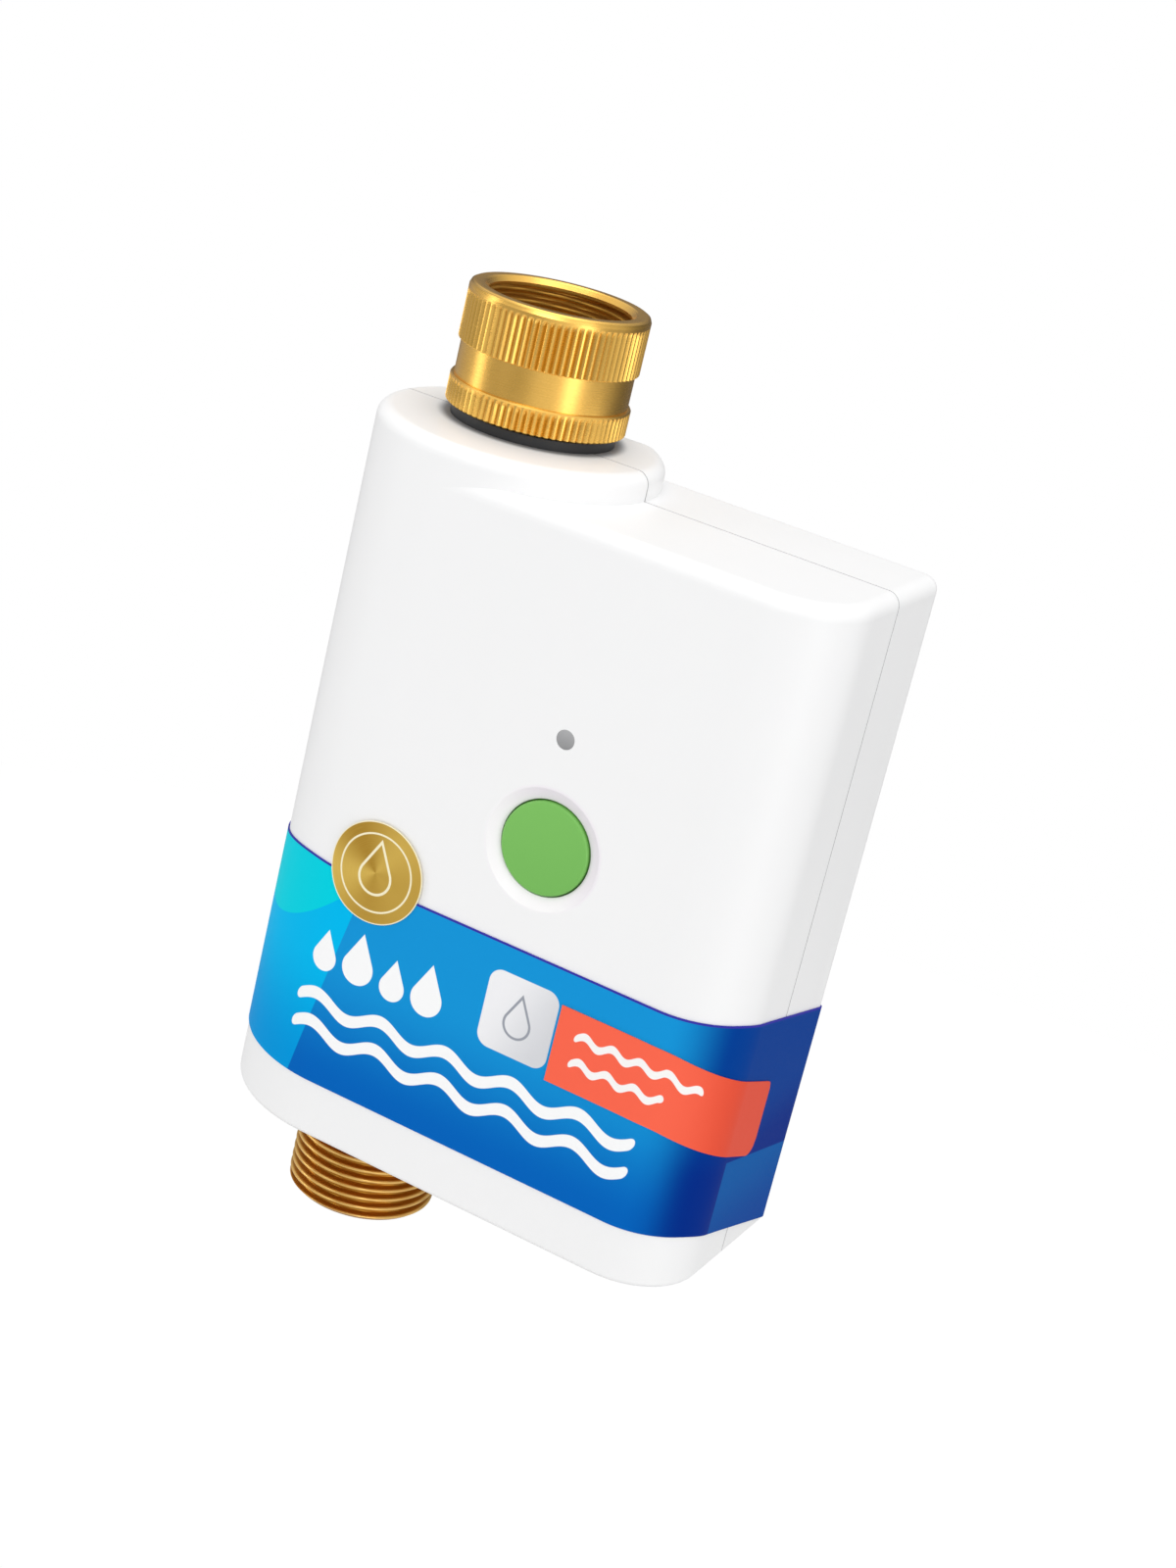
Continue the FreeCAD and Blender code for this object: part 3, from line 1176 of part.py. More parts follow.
def tag_sticker():
    skin = ring_form(LABEL_LIFT + LABEL_T + FIT, STICKER_T, LABEL_BOTTOM - 20, LABEL_TOP + 1)
    return skin.common(slanted(FRONT_Y + TAG_BACK, TAG_TOP, TAG_TOP - TAG_H, TAG_LEVEL, TAG_FALL, TAG_FALL,
                               TAG_LEFT))


def build():
    os.makedirs("parts", exist_ok=True)
    form = case_form(0)
    inner = case_form(WALL)
    save("front_shell", front_shell(form, inner))
    save("rear_shell", rear_shell(form, inner))
    makers = [shell_gasket, case_screws, inlet_nut, inlet_washer, filter_screen, inlet_tail, inlet_collar,
              valve_body, ball_seats, valve_ball, valve_stem, stem_o_rings, outlet_nipple, output_gear,
              gear_clip, idler_gear, idler_axle, motor_pinion, motor_shaft, motor_can, motor_end_cap,
              motor_lugs, gearbox_base, base_screws, gearbox_cover, gearbox_screws, motor_screws,
              limit_switches, board, board_screws, radio_shield, chips, storage_capacitor,
              lead_connectors, push_switch, button_cap, switch_plunger, status_led, light_pipe,
              battery_cells, contact_plates, contact_springs, battery_door, door_screw, door_seal,
              motor_leads, switch_leads, battery_leads, label, disc_sticker, tag_sticker]
    for maker in makers:
        save(maker.__name__, maker())


build()
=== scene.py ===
import math

import bpy
from mathutils import Euler, Matrix, Vector


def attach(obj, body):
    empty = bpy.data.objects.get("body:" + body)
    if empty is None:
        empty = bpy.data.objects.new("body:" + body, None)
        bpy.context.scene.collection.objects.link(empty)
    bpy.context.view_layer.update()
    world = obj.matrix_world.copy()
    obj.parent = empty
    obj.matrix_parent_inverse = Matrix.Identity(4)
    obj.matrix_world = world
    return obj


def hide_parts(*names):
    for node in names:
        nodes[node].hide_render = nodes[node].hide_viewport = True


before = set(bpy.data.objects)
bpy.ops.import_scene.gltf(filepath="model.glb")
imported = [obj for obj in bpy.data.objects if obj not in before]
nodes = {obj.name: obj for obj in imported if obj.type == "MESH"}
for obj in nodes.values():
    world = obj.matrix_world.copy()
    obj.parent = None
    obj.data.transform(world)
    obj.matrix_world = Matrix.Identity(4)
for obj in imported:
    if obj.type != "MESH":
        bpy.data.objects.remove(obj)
scene = bpy.context.scene
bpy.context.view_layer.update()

# The camera stands a little above the controller and to its right, tilted so that the case leans over.
# Its place, lens and shift come from a fit to the case's edges, the nut and the outlet.
camera_data = bpy.data.cameras.new("camera")
camera_data.lens = 64.747
camera_data.shift_y = -0.06
camera_data.clip_start = 0.01
camera = bpy.data.objects.new("camera", camera_data)
camera.location = (0.203664, -0.410129, 0.098690)
camera.rotation_euler = Euler([math.radians(a) for a in (71.1904, -12.8839, 28.3450)])
scene.collection.objects.link(camera)
scene.camera = camera
scene.view_settings.view_transform = "Standard"


# Studio: a pale room with a tall soft box at each side, whose mirror images draw the bright lines down the
# brass, and soft boxes in front and overhead. The camera sees the room as plain white.
class Wire:
    """A socket of a node tree. Arithmetic on it adds Math nodes to the tree."""

    def __init__(self, tree, socket):
        self.tree = tree
        self.socket = socket

    def maths(self, operation, *others):
        return self.tree.node("ShaderNodeMath", {"operation": operation}, [self, *others])

    def __add__(self, other):
        return self.maths("ADD", other)

    def __sub__(self, other):
        return self.maths("SUBTRACT", other)

    def __rsub__(self, other):
        return self.tree.node("ShaderNodeMath", {"operation": "SUBTRACT"}, [other, self])

    def __mul__(self, other):
        return self.maths("MULTIPLY", other)

    def __truediv__(self, other):
        return self.maths("DIVIDE", other)

    def __lt__(self, other):
        return self.maths("LESS_THAN", other)

    def __gt__(self, other):
        return self.maths("GREATER_THAN", other)

    def __or__(self, other):
        """The larger of the two, which joins two masks."""
        return self.maths("MAXIMUM", other)

    def __neg__(self):
        return self.maths("MULTIPLY", -1.0)

    def __abs__(self):
        return self.maths("ABSOLUTE")

    __radd__ = __add__
    __rmul__ = __mul__

    def unit(self):
        """Held between 0 and 1."""
        return self.tree.node("ShaderNodeClamp", {}, [self])

    def rise(self, low, high):
        """0 below low, 1 above high, smooth between them."""
        return self.tree.node("ShaderNodeMapRange", {"interpolation_type": "SMOOTHSTEP"}, [self, low, high])


class Tree:
    """A node tree that is being built: a material's, the world's or one of Geometry Nodes."""

    def __init__(self, tree):
        self.tree = tree

    def plug(self, socket, value):
        """Link a wire to a socket, or write a plain value into it. A colour gets its fourth number here."""
        if isinstance(value, Wire):
            self.tree.links.new(value.socket, socket)
        elif socket.type == "RGBA":
            socket.default_value = (*value, 1)
        else:
            socket.default_value = value

    def node(self, kind, settings=None, inputs=None, out=0):
        """Add a node: its settings first, then the values or links of its sockets by place or by name."""
        made = self.tree.nodes.new(kind)
        for name, value in (settings or {}).items():
            setattr(made, name, value)
        for key, value in inputs.items() if isinstance(inputs, dict) else enumerate(inputs or []):
            self.plug(made.inputs[key], value)
        if len(made.outputs):
            return Wire(self, made.outputs[out])

    def parts(self, vector):
        """The X, Y and Z of a vector."""
        split = self.tree.nodes.new("ShaderNodeSeparateXYZ")
        self.plug(split.inputs[0], vector)
        return [Wire(self, socket) for socket in split.outputs]

    def in_view(self):
        """1 for what the camera sees straight or through something clear."""
        camera_ray = self.node("ShaderNodeLightPath", out="Is Camera Ray")
        return camera_ray | self.node("ShaderNodeLightPath", out="Is Transmission Ray")


world = bpy.data.worlds.new("room")
scene.world = world
world.use_nodes = True
room = Tree(world.node_tree)
room.tree.nodes.clear()
across, deep, high = room.parts(room.node("ShaderNodeTexCoord", out="Generated"))
# The brass mirrors a room that is lighter on the camera's side, overhead and at the far left, and darker behind
# and straight in front, between the lamps.
camera_side = 0.36 * (0.5 * across - 0.86 * deep).rise(0.35, 1.0)
overhead = 0.45 * high.rise(0.15, 0.75)
far_left = 0.12 * (-across).rise(0.93, 0.99)
behind = 0.28 * deep.rise(0.45, 0.85)
in_front = 0.34 * (-deep).rise(0.90, 0.985)
ROOM_WHITE = (1, 1, 1)
felt = room.node("ShaderNodeBackground", {}, [ROOM_WHITE, 0.735])
mirrored = room.node("ShaderNodeBackground", {},
                     [ROOM_WHITE, 0.42 + camera_side + overhead + far_left - behind - in_front])
seen = room.node("ShaderNodeBackground", {}, [ROOM_WHITE, 1.0])
glossy = room.node("ShaderNodeLightPath", out="Is Glossy Ray")
unseen = room.node("ShaderNodeMixShader", {}, [glossy, felt, mirrored])
room.node("ShaderNodeOutputWorld", {}, [room.node("ShaderNodeMixShader", {}, [room.in_view(), unseen, seen])])

AIM = Vector((0.022, 0.0, -0.07))
for name, place, size, power in (("soft_left", (-0.95, -0.44, 0.02), (0.22, 1.15), 1.7),
                                 ("soft_right", (1.00, -0.45, 0.02), (0.34, 1.15), 2.3),
                                 ("soft_front", (0.26, -1.18, 0.72), (0.70, 0.50), 3.25),
                                 ("soft_top", (0.0, 0.10, 1.05), (0.9, 0.7), 3.7)):
    light = bpy.data.lights.new(name, "AREA")
    light.shape = "RECTANGLE"
    light.size, light.size_y = size
    light.energy = power
    lamp = bpy.data.objects.new(name, light)
    lamp.location = place
    lamp.rotation_mode = "QUATERNION"
    lamp.rotation_quaternion = (AIM - Vector(place)).to_track_quat("-Z", "Y")
    lamp.visible_camera = False
    scene.collection.objects.link(lamp)


# Case: two moulded shells of white plastic that meet at a fine seam, screwed together from the rear. The mould
# was spark-eroded, so the skin has a very fine grain and a satin gloss. The button's dish carries painted shade,
# darker and violet at its upper right, and tinted against the green light the cap throws into it. The tower's
# top is painted a little blue against the warm light the brass throws on it, and the skin carries a painted
# shadow where the collar stands on the tower.
class Finish(Tree):
    """A material built on one Principled shader."""

    def __init__(self, name, **values):
        self.material = bpy.data.materials.new(name)
        self.material.use_nodes = True
        super().__init__(self.material.node_tree)
        self.tree.nodes.clear()
        self.shader = self.tree.nodes.new("ShaderNodeBsdfPrincipled")
        self.output = self.tree.nodes.new("ShaderNodeOutputMaterial")
        self.tree.links.new(self.shader.outputs[0], self.output.inputs["Surface"])
        self.place = self.node("ShaderNodeTexCoord", out="Object")
        for key, value in values.items():
            self.set(key.replace("_", " "), value)

    def set(self, name, value):
        self.plug(self.shader.inputs[name], value)

    def axes(self):
        """The object's X, Y and Z as three wires."""
        return self.parts(self.place)

    def noise(self, scale, detail=3.0, stretch=(1, 1, 1)):
        spread = self.node("ShaderNodeMapping", {}, {"Vector": self.place, "Scale": stretch})
        return self.node("ShaderNodeTexNoise", {}, {"Vector": spread, "Scale": scale, "Detail": detail})

    def blend(self, share, first, second):
        """A mix of two colours."""
        return self.node("ShaderNodeMix", {"data_type": "RGBA"}, {0: share, 6: first, 7: second}, out=2)

    def relief(self, height, depth):
        """Bump of the given real depth."""
        self.set("Normal", self.node("ShaderNodeBump", {}, {"Height": height, "Distance": depth, "Strength": 1.0}))


def dress(finish, *names):
    """Put a finish on nodes that keep their CAD shape."""
    for name in names:
        for slot in nodes[name].material_slots:
            slot.material = finish.material


def from_centre(a, b):
    """The distance of a point from the origin in the plane of two of its coordinates."""
    return (a * a + b * b).maths("SQRT")


# Places and radii on the case, in metres.
BUTTON_X, BUTTON_Z, DISH_R = 0.0319, -0.0683, 0.0110
SEAM_Y = -0.0032
NEAR_FRONT, NEAR_TOP = -0.020, -0.0112
COLLAR_R = 0.0146
case_white = Finish("case_white", IOR=1.47)
cloud = case_white.noise(28.0, 2.0)
grain = case_white.noise(5200.0, 2.0)
wx, wy, wz = case_white.axes()
dish_x, dish_z = wx - BUTTON_X, wz - BUTTON_Z
dish = (1 - from_centre(dish_x, dish_z).rise(DISH_R - 0.0010, DISH_R)) * (wy < NEAR_FRONT)
from_axis = from_centre(wx, wy)
# Painted: the tower's top is tinted a little blue against the warm light the brass throws on it.
painted_cool_tower_top = (1 - from_axis.rise(0.0150, 0.0250)) * (wz > NEAR_TOP)
painted_collar_shadow = (1 - from_axis.rise(COLLAR_R, COLLAR_R + 0.0020)) * (wz > NEAR_TOP)
seam = 1 - abs(wy - SEAM_Y).rise(0.00010, 0.00022)
white = case_white.blend(cloud, (0.928, 0.928, 0.931), (0.944, 0.944, 0.946))
white = case_white.blend(painted_cool_tower_top, white, (0.915, 0.940, 0.965))
# Painted shade in the button's dish: darker and violet at its upper right, lighter at its lower left.
painted_dish_shade = case_white.blend((dish_x + dish_z).rise(-0.006, 0.008), (0.970, 0.950, 0.965), (0.900, 0.845, 0.905))
white = case_white.blend(dish, white, painted_dish_shade)
white = case_white.blend(seam * 0.7, white, (0.40, 0.40, 0.41))
# Painted shadow on the skin round the foot of the collar.
case_white.set("Base Color", case_white.blend(painted_collar_shadow * 0.75, white, (0.10, 0.10, 0.11)))
case_white.set("Roughness", 0.39 + 0.05 * case_white.noise(160.0) + 0.03 * grain)
case_white.relief(grain, 0.000006)
dress(case_white, "front_shell", "rear_shell", "battery_door")

# Status light: a frosted pipe of clear plastic that ends in a shallow dimple of the front wall. It carries the
# light of a diode on the board, and looks grey while that is off.
LIGHT_Z = -0.0493
pipe_grey = Finish("pipe_grey", IOR=1.49)
_, _, pipe_z = pipe_grey.axes()
# Painted shade: the pipe's end is coloured lighter towards its top and darker towards its bottom.
painted_top_light = ((pipe_z - LIGHT_Z) * 330.0 + 0.5).unit()
frost = pipe_grey.noise(3000.0)
pipe_grey.set("Base Color", pipe_grey.blend(painted_top_light, (0.28, 0.28, 0.285), (0.46, 0.46, 0.47)))
pipe_grey.set("Roughness", 0.30 + 0.15 * frost)
pipe_grey.relief(frost, 0.00001)
dress(pipe_grey, "light_pipe", "status_led")


# Swivel nut: turned brass with two straight-knurled rings and a plain band between them, pipe thread inside.
# The lip at its foot hooks under the flange of the tail pipe, so that it turns freely.
def new_recipe(name, start, sizes):
    """A Geometry Nodes tree whose inputs are its starting shape, its named sizes and its finish."""
    group = bpy.data.node_groups.new(name, "GeometryNodeTree")
    face = group.interface
    face.new_socket(start, in_out="INPUT", socket_type="NodeSocketGeometry")
    for label, value in sizes.items():
        kind = "NodeSocketInt" if isinstance(value, int) else "NodeSocketFloat"
        face.new_socket(label, in_out="INPUT", socket_type=kind).default_value = value
    face.new_socket("Finish", in_out="INPUT", socket_type="NodeSocketMaterial")
    face.new_socket("Part", in_out="OUTPUT", socket_type="NodeSocketGeometry")
    tree = Tree(group)
    given = group.nodes.new("NodeGroupInput")
    return tree, {socket.name: Wire(tree, socket) for socket in given.outputs if socket.name}


def end_recipe(tree, shape, finish):
    """The last nodes of a recipe: the shape made real, in its finish. Gives back the recipe."""
    real = tree.node("GeometryNodeRealizeInstances", {}, [shape])
    done = tree.node("GeometryNodeSetMaterial", {}, {"Geometry": real, "Material": finish})
    tree.node("NodeGroupOutput", {}, [done])
    return tree.tree


def turned_recipe():
    """Sweeps a closed outline round the flow axis, and cuts a knurl's grooves and a thread into it.

    Each point of the outline says how far it lies past the end of the grooves, and how deep the thread is there.
    """
    t, take = new_recipe("turned_part", "Outline", {
        "Columns": 96, "Grooves": 0.0, "Groove Depth": 0.0, "Groove Half": 1.0, "Outer Radius": 1.0, "Pitch": 1.0,
        "Crest": 0.2})
    rows = t.node("GeometryNodeAttributeDomainSize", {"component": "MESH"}, [take["Outline"]])
    sheet = t.node("GeometryNodeMeshGrid", {}, {"Vertices X": take["Columns"] + 1, "Vertices Y": rows})
    index = t.node("GeometryNodeInputIndex")
    column = (index / rows).maths("FLOOR")
    row = index - column * rows
    around = column / take["Columns"]
    angle = around * (2 * math.pi)

    def from_outline(kind, value):
        return t.node("GeometryNodeSampleIndex", {"data_type": kind, "domain": "POINT"},
                      {"Geometry": take["Outline"], "Value": value, "Index": row})

    def mark(name):
        named = t.node("GeometryNodeInputNamedAttribute", {"data_type": "FLOAT"}, {"Name": name})
        return from_outline("FLOAT", named)

    radius, _, height = t.parts(from_outline("FLOAT_VECTOR", t.node("GeometryNodeInputPosition")))
    off_groove = abs((around * take["Grooves"]).maths("FRACT") - 0.5) * take["Outer Radius"] * (2 * math.pi)
    reach = from_centre(off_groove / (take["Grooves"] | 1.0), mark("past_groove"))
    cut = (1 - reach / take["Groove Half"]).unit() * take["Groove Depth"]
    phase = (height / take["Pitch"] - around).maths("FRACT")
    # A thread's crest is flat for the share Crest of the pitch, and its root for 0.6 of that.
    flank = ((abs(phase * 2 - 1) - take["Crest"]) / (1 - 1.6 * take["Crest"])).rise(0.0, 1.0)
    size = radius - cut + mark("thread") * (1 - flank)
    spot = t.node("ShaderNodeCombineXYZ", {}, [size * angle.maths("COSINE"), size * angle.maths("SINE"), height])
    shaped = t.node("GeometryNodeSetPosition", {}, {"Geometry": sheet, "Position": spot})
    closed = t.node("GeometryNodeMergeByDistance", {}, {"Geometry": shaped, "Distance": 0.000001})
    sharp = t.node("GeometryNodeInputMeshEdgeAngle") > 0.62  # radians
    smooth = t.node("GeometryNodeSetShadeSmooth", {"domain": "EDGE"},
                    {"Geometry": closed, "Selection": sharp, "Shade Smooth": False})
    return end_recipe(t, smooth, take["Finish"])


TURNED = turned_recipe()


def made_plain(name, source, recipe, values):
    """Run a recipe on an object and keep the result as a plain mesh."""
    modifier = source.modifiers.new("recipe", "NODES")
    modifier.node_group = recipe
    for item in recipe.interface.items_tree:
        if item.in_out == "INPUT" and item.name in values:
            modifier[item.identifier] = values[item.name]
    scene.collection.objects.link(source)
    graph = bpy.context.evaluated_depsgraph_get()
    mesh = bpy.data.meshes.new_from_object(source.evaluated_get(graph))
    mesh.name = name
    source.modifiers.remove(modifier)
    bpy.data.objects.remove(source)
    piece = bpy.data.objects.new(name, mesh)
    scene.collection.objects.link(piece)
    return piece


def turned(name, corners, finish, past_groove=None, thread=None, steps=None, **values):
    """Sweep the outline (radius, height in mm), with points between its corners at the given steps."""
    one_step = 50.0  # longer than any side
    points = []
    for i, (here, after) in enumerate(zip(corners, corners[1:] + corners[:1])):
        count = max(1, math.ceil(math.dist(here, after) / (steps or {}).get(i, one_step)))
        points += [[here[k] + (after[k] - here[k]) * j / count for k in (0, 1)] for j in range(count)]
    points.append(points[0])
    outline = bpy.data.meshes.new(name + "_outline")
    edges = [(i, i + 1) for i in range(len(points) - 1)]
    outline.from_pydata([(r / 1000, 0, z / 1000) for r, z in points], edges, [])
    for label, rule, other in (("past_groove", past_groove, 1.0), ("thread", thread, 0.0)):
        layer = outline.attributes.new(label, "FLOAT", "POINT")
        layer.data.foreach_set("value", [rule(r, z) / 1000 if rule else other for r, z in points])
    inputs = {"Finish": finish.material}
    for key, value in values.items():
        inputs[key.replace("_", " ").title()] = value
    return made_plain(name, bpy.data.objects.new(name, outline), TURNED, inputs)


# The nut's radii and heights, in mm.
NUT_R, BAND_R, KNURLS = 15.3, 14.7, 80
HIGH_RING_FOOT, HIGH_GROOVES_END = 2.25, 10.0
LOW_RING_TOP, LOW_GROOVES_END = -3.65, -4.75
NO_GROOVE = 1000.0
THREAD_IN, THREAD_OUT, THREAD_STEP = 12.06, 13.22, 1.814
THREAD_LOW, THREAD_HIGH = 0.6, 10.6
nut_brass = Finish("nut_brass", Metallic=1.0)
nx, ny, nz = nut_brass.axes()
nut_r = from_centre(nx, ny)
lathe = nut_brass.noise(1.0, 3.0, (60.0, 60.0, 14000.0))
smudge = nut_brass.noise(220.0, 4.0)
valley = (1 - nut_r.rise(0.01490, 0.01525)) * (nut_r > 0.01483)
bore_shade_and_dull = (1 - nut_r.rise(0.0133, 0.0135)) * (nz < 0.0109)
gold = nut_brass.blend(smudge, (0.94, 0.545, 0.115), (0.99, 0.600, 0.145))
gold = nut_brass.blend(valley * 0.45, gold, (0.44, 0.27, 0.050))
# Painted shade in the nut's bore: the inner wall is coloured darker; it is also rougher there.
nut_brass.set("Base Color", nut_brass.blend(bore_shade_and_dull * 0.75, gold, (0.42, 0.215, 0.032)))
nut_brass.set("Roughness", 0.20 + 0.10 * lathe + 0.06 * smudge + 0.26 * bore_shade_and_dull)
nut_brass.relief(lathe * (1 - 0.9 * bore_shade_and_dull), 0.000008)


def groove_ends(r, z):
    """How far a point lies past the end of its ring's grooves, in mm."""
    if r < BAND_R + 0.05:
        return NO_GROOVE
    if z > HIGH_RING_FOOT:
        return max(0.0, z - HIGH_GROOVES_END)
    return max(0.0, z - LOW_GROOVES_END) if z < LOW_RING_TOP else NO_GROOVE


def nut_thread(r, z):
    """Thread depth in mm on the nut's inner wall, running in at its two ends."""
    if abs(r - THREAD_IN) > 0.01:
        return 0.0
    return (THREAD_OUT - THREAD_IN) * min(1.0, max(0.0, (z - THREAD_LOW) / 0.9), max(0.0, (THREAD_HIGH - z) / 0.5))


# Points lie closer together along the sides that carry the knurls, their ends and the thread.
nut_steps = {2: 0.14, 3: 0.7, 8: 0.08, 9: 0.5, 16: 0.17, 17: 0.17}
nut_corners = [(10.7, -8.0), (11.0, -8.3), (14.95, -8.3), (NUT_R, -8.05), (NUT_R, -4.0), (15.12, -3.72),
               (BAND_R, -3.7), (BAND_R, 2.3), (15.2, 2.3), (NUT_R, 2.4), (NUT_R, 11.1), (15.05, 11.7), (14.6, 11.95),
               (14.3, 12.0), (13.0, 11.98), (12.7, 11.80), (THREAD_IN, 11.1), (THREAD_IN, 0.4), (THREAD_IN, -5.0),
               (10.7, -5.0)]
swivel_nut = turned("swivel_nut", nut_corners, nut_brass, groove_ends, nut_thread, nut_steps, columns=KNURLS * 8,
                    grooves=float(KNURLS), groove_depth=0.00042, groove_half=0.00044, outer_radius=NUT_R / 1000,
                    pitch=THREAD_STEP / 1000, crest=0.2)
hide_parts("inlet_nut")
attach(swivel_nut, "nut")

# Outlet: a brass nipple screwed into the valve from below, with the male hose thread cut up to the case.
# The crests carry a painted highlight, a bright line along each, and the flanks stay dark.
OUTLET_FOOT, OUTLET_THREAD_TOP = -155.3, -132.6
outlet_brass = Finish("outlet_brass", Metallic=1.0)
ox, oy, _ = outlet_brass.axes()
# Painted highlight: the thread's crests are coloured bright.
crest = from_centre(ox, oy).rise(0.01275, 0.01318)
tarnish = outlet_brass.noise(260.0, 4.0)
tool = outlet_brass.noise(1.0, 2.0, (40.0, 40.0, 9000.0))
dark = outlet_brass.blend(tarnish, (0.46, 0.205, 0.026), (0.57, 0.27, 0.042))
outlet_brass.set("Base Color", outlet_brass.blend(crest, dark, (0.95, 0.60, 0.19)))
outlet_brass.set("Roughness", 0.30 + 0.12 * tarnish + 0.05 * tool)
outlet_brass.relief(tool, 0.000008)


def outlet_thread(r, z):
    """Depth in mm to which the outlet's thread is cut, running out under the case."""
    if abs(r - THREAD_OUT) > 0.01:
        return 0.0
    return (THREAD_IN - THREAD_OUT) * min(1.0, max(0.0, (OUTLET_THREAD_TOP - z) / 0.9))


outlet_corners = [(8.0, -155.1), (8.2, OUTLET_FOOT), (12.2, OUTLET_FOOT), (THREAD_OUT, -154.4), (THREAD_OUT, -132.0),
                  (THREAD_OUT, -130.0), (11.0, -130.0), (11.0, -122.0), (6.0, -122.0), (6.0, -130.0), (8.0, -130.0)]
outlet_nipple = turned("outlet_thread", outlet_corners, outlet_brass, None, outlet_thread, {2: 0.2, 3: 0.14},
                       columns=224, pitch=THREAD_STEP / 1000, crest=0.2)
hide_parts("outlet_nipple")
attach(outlet_nipple, "case")

# Push button: a green cap moulded in the mass, a flat face with a soft edge in its dish of the case. A flange
# stops it behind the wall, and a short ram works a small switch on the board.
button_green = Finish("button_green", IOR=1.47)
skin = button_green.noise(4200.0, 2.0)
cap_x, _, cap_z = button_green.axes()
# Painted shade on the cap's face: lighter towards its top left, darker towards its lower right.
painted_cap_shade = (0.5 + (cap_z - BUTTON_Z) * 55.0 - (cap_x - BUTTON_X) * 18.0).unit()
button_green.set("Base Color", button_green.blend(painted_cap_shade, (0.172, 0.490, 0.092), (0.200, 0.540, 0.108)))
button_green.set("Roughness", 0.40 + 0.08 * skin)
button_green.relief(skin, 0.000006)
cap = turned("button_cap_face", [(0.01, -26.65), (7.40, -26.65), (7.66, -26.60), (7.83, -26.45), (7.90, -26.20),
                                 (7.90, -24.65), (9.10, -24.65), (9.10, -23.15), (2.40, -23.15), (2.40, -21.60),
                                 (0.01, -21.60)], button_green, columns=128)
# The outline's axis is turned to point forwards, through the middle of the dish.
cap.data.transform(Matrix(((1, 0, 0, BUTTON_X), (0, 0, 1, 0), (0, -1, 0, BUTTON_Z), (0, 0, 0, 1))))
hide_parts("button_cap")
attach(cap, "button")


# Inlet parts inside the nut: black collar on the case, flat rubber washer, and the brass tail pipe
# whose flange carries the nut. The case's and the door's soft seals are cut from silicone.
def two_tones(colour, spread):
    """A colour a little darker and a little lighter."""
    return tuple(c * (1 - spread) for c in colour), tuple(min(1.0, c * (1 + spread)) for c in colour)


def moulded(name, colour, roughness, grain_scale=3800.0, depth=0.000008):
    """Moulded plastic or rubber: a fine grain, faint clouds of tone."""
    made = Finish(name, IOR=1.48)
    tone = made.noise(90.0)
    fine = made.noise(grain_scale, 2.0)
    made.set("Base Color", made.blend(tone, *two_tones(colour, 0.12)))
    made.set("Roughness", roughness - 0.05 + 0.1 * fine)
    made.relief(fine, depth)
    return made


dress(moulded("collar_black", (0.022, 0.023, 0.025), 0.46), "inlet_collar", "motor_end_cap", "switch_plunger")
dress(moulded("washer_black", (0.030, 0.030, 0.032), 0.62, 2400.0, 0.00002), "inlet_washer", "stem_o_rings")
dress(moulded("grey_silicone", (0.36, 0.37, 0.39), 0.55), "shell_gasket", "door_seal")
cast_brass = Finish("cast_brass", Metallic=1.0)
casting = cast_brass.noise(900.0, 4.0)
cast_brass.set("Base Color", cast_brass.blend(casting, (0.60, 0.37, 0.11), (0.74, 0.48, 0.17)))
cast_brass.set("Roughness", 0.34 + 0.2 * casting)
cast_brass.relief(casting, 0.00003)
dress(cast_brass, "inlet_tail", "valve_body", "valve_stem", "motor_pinion")


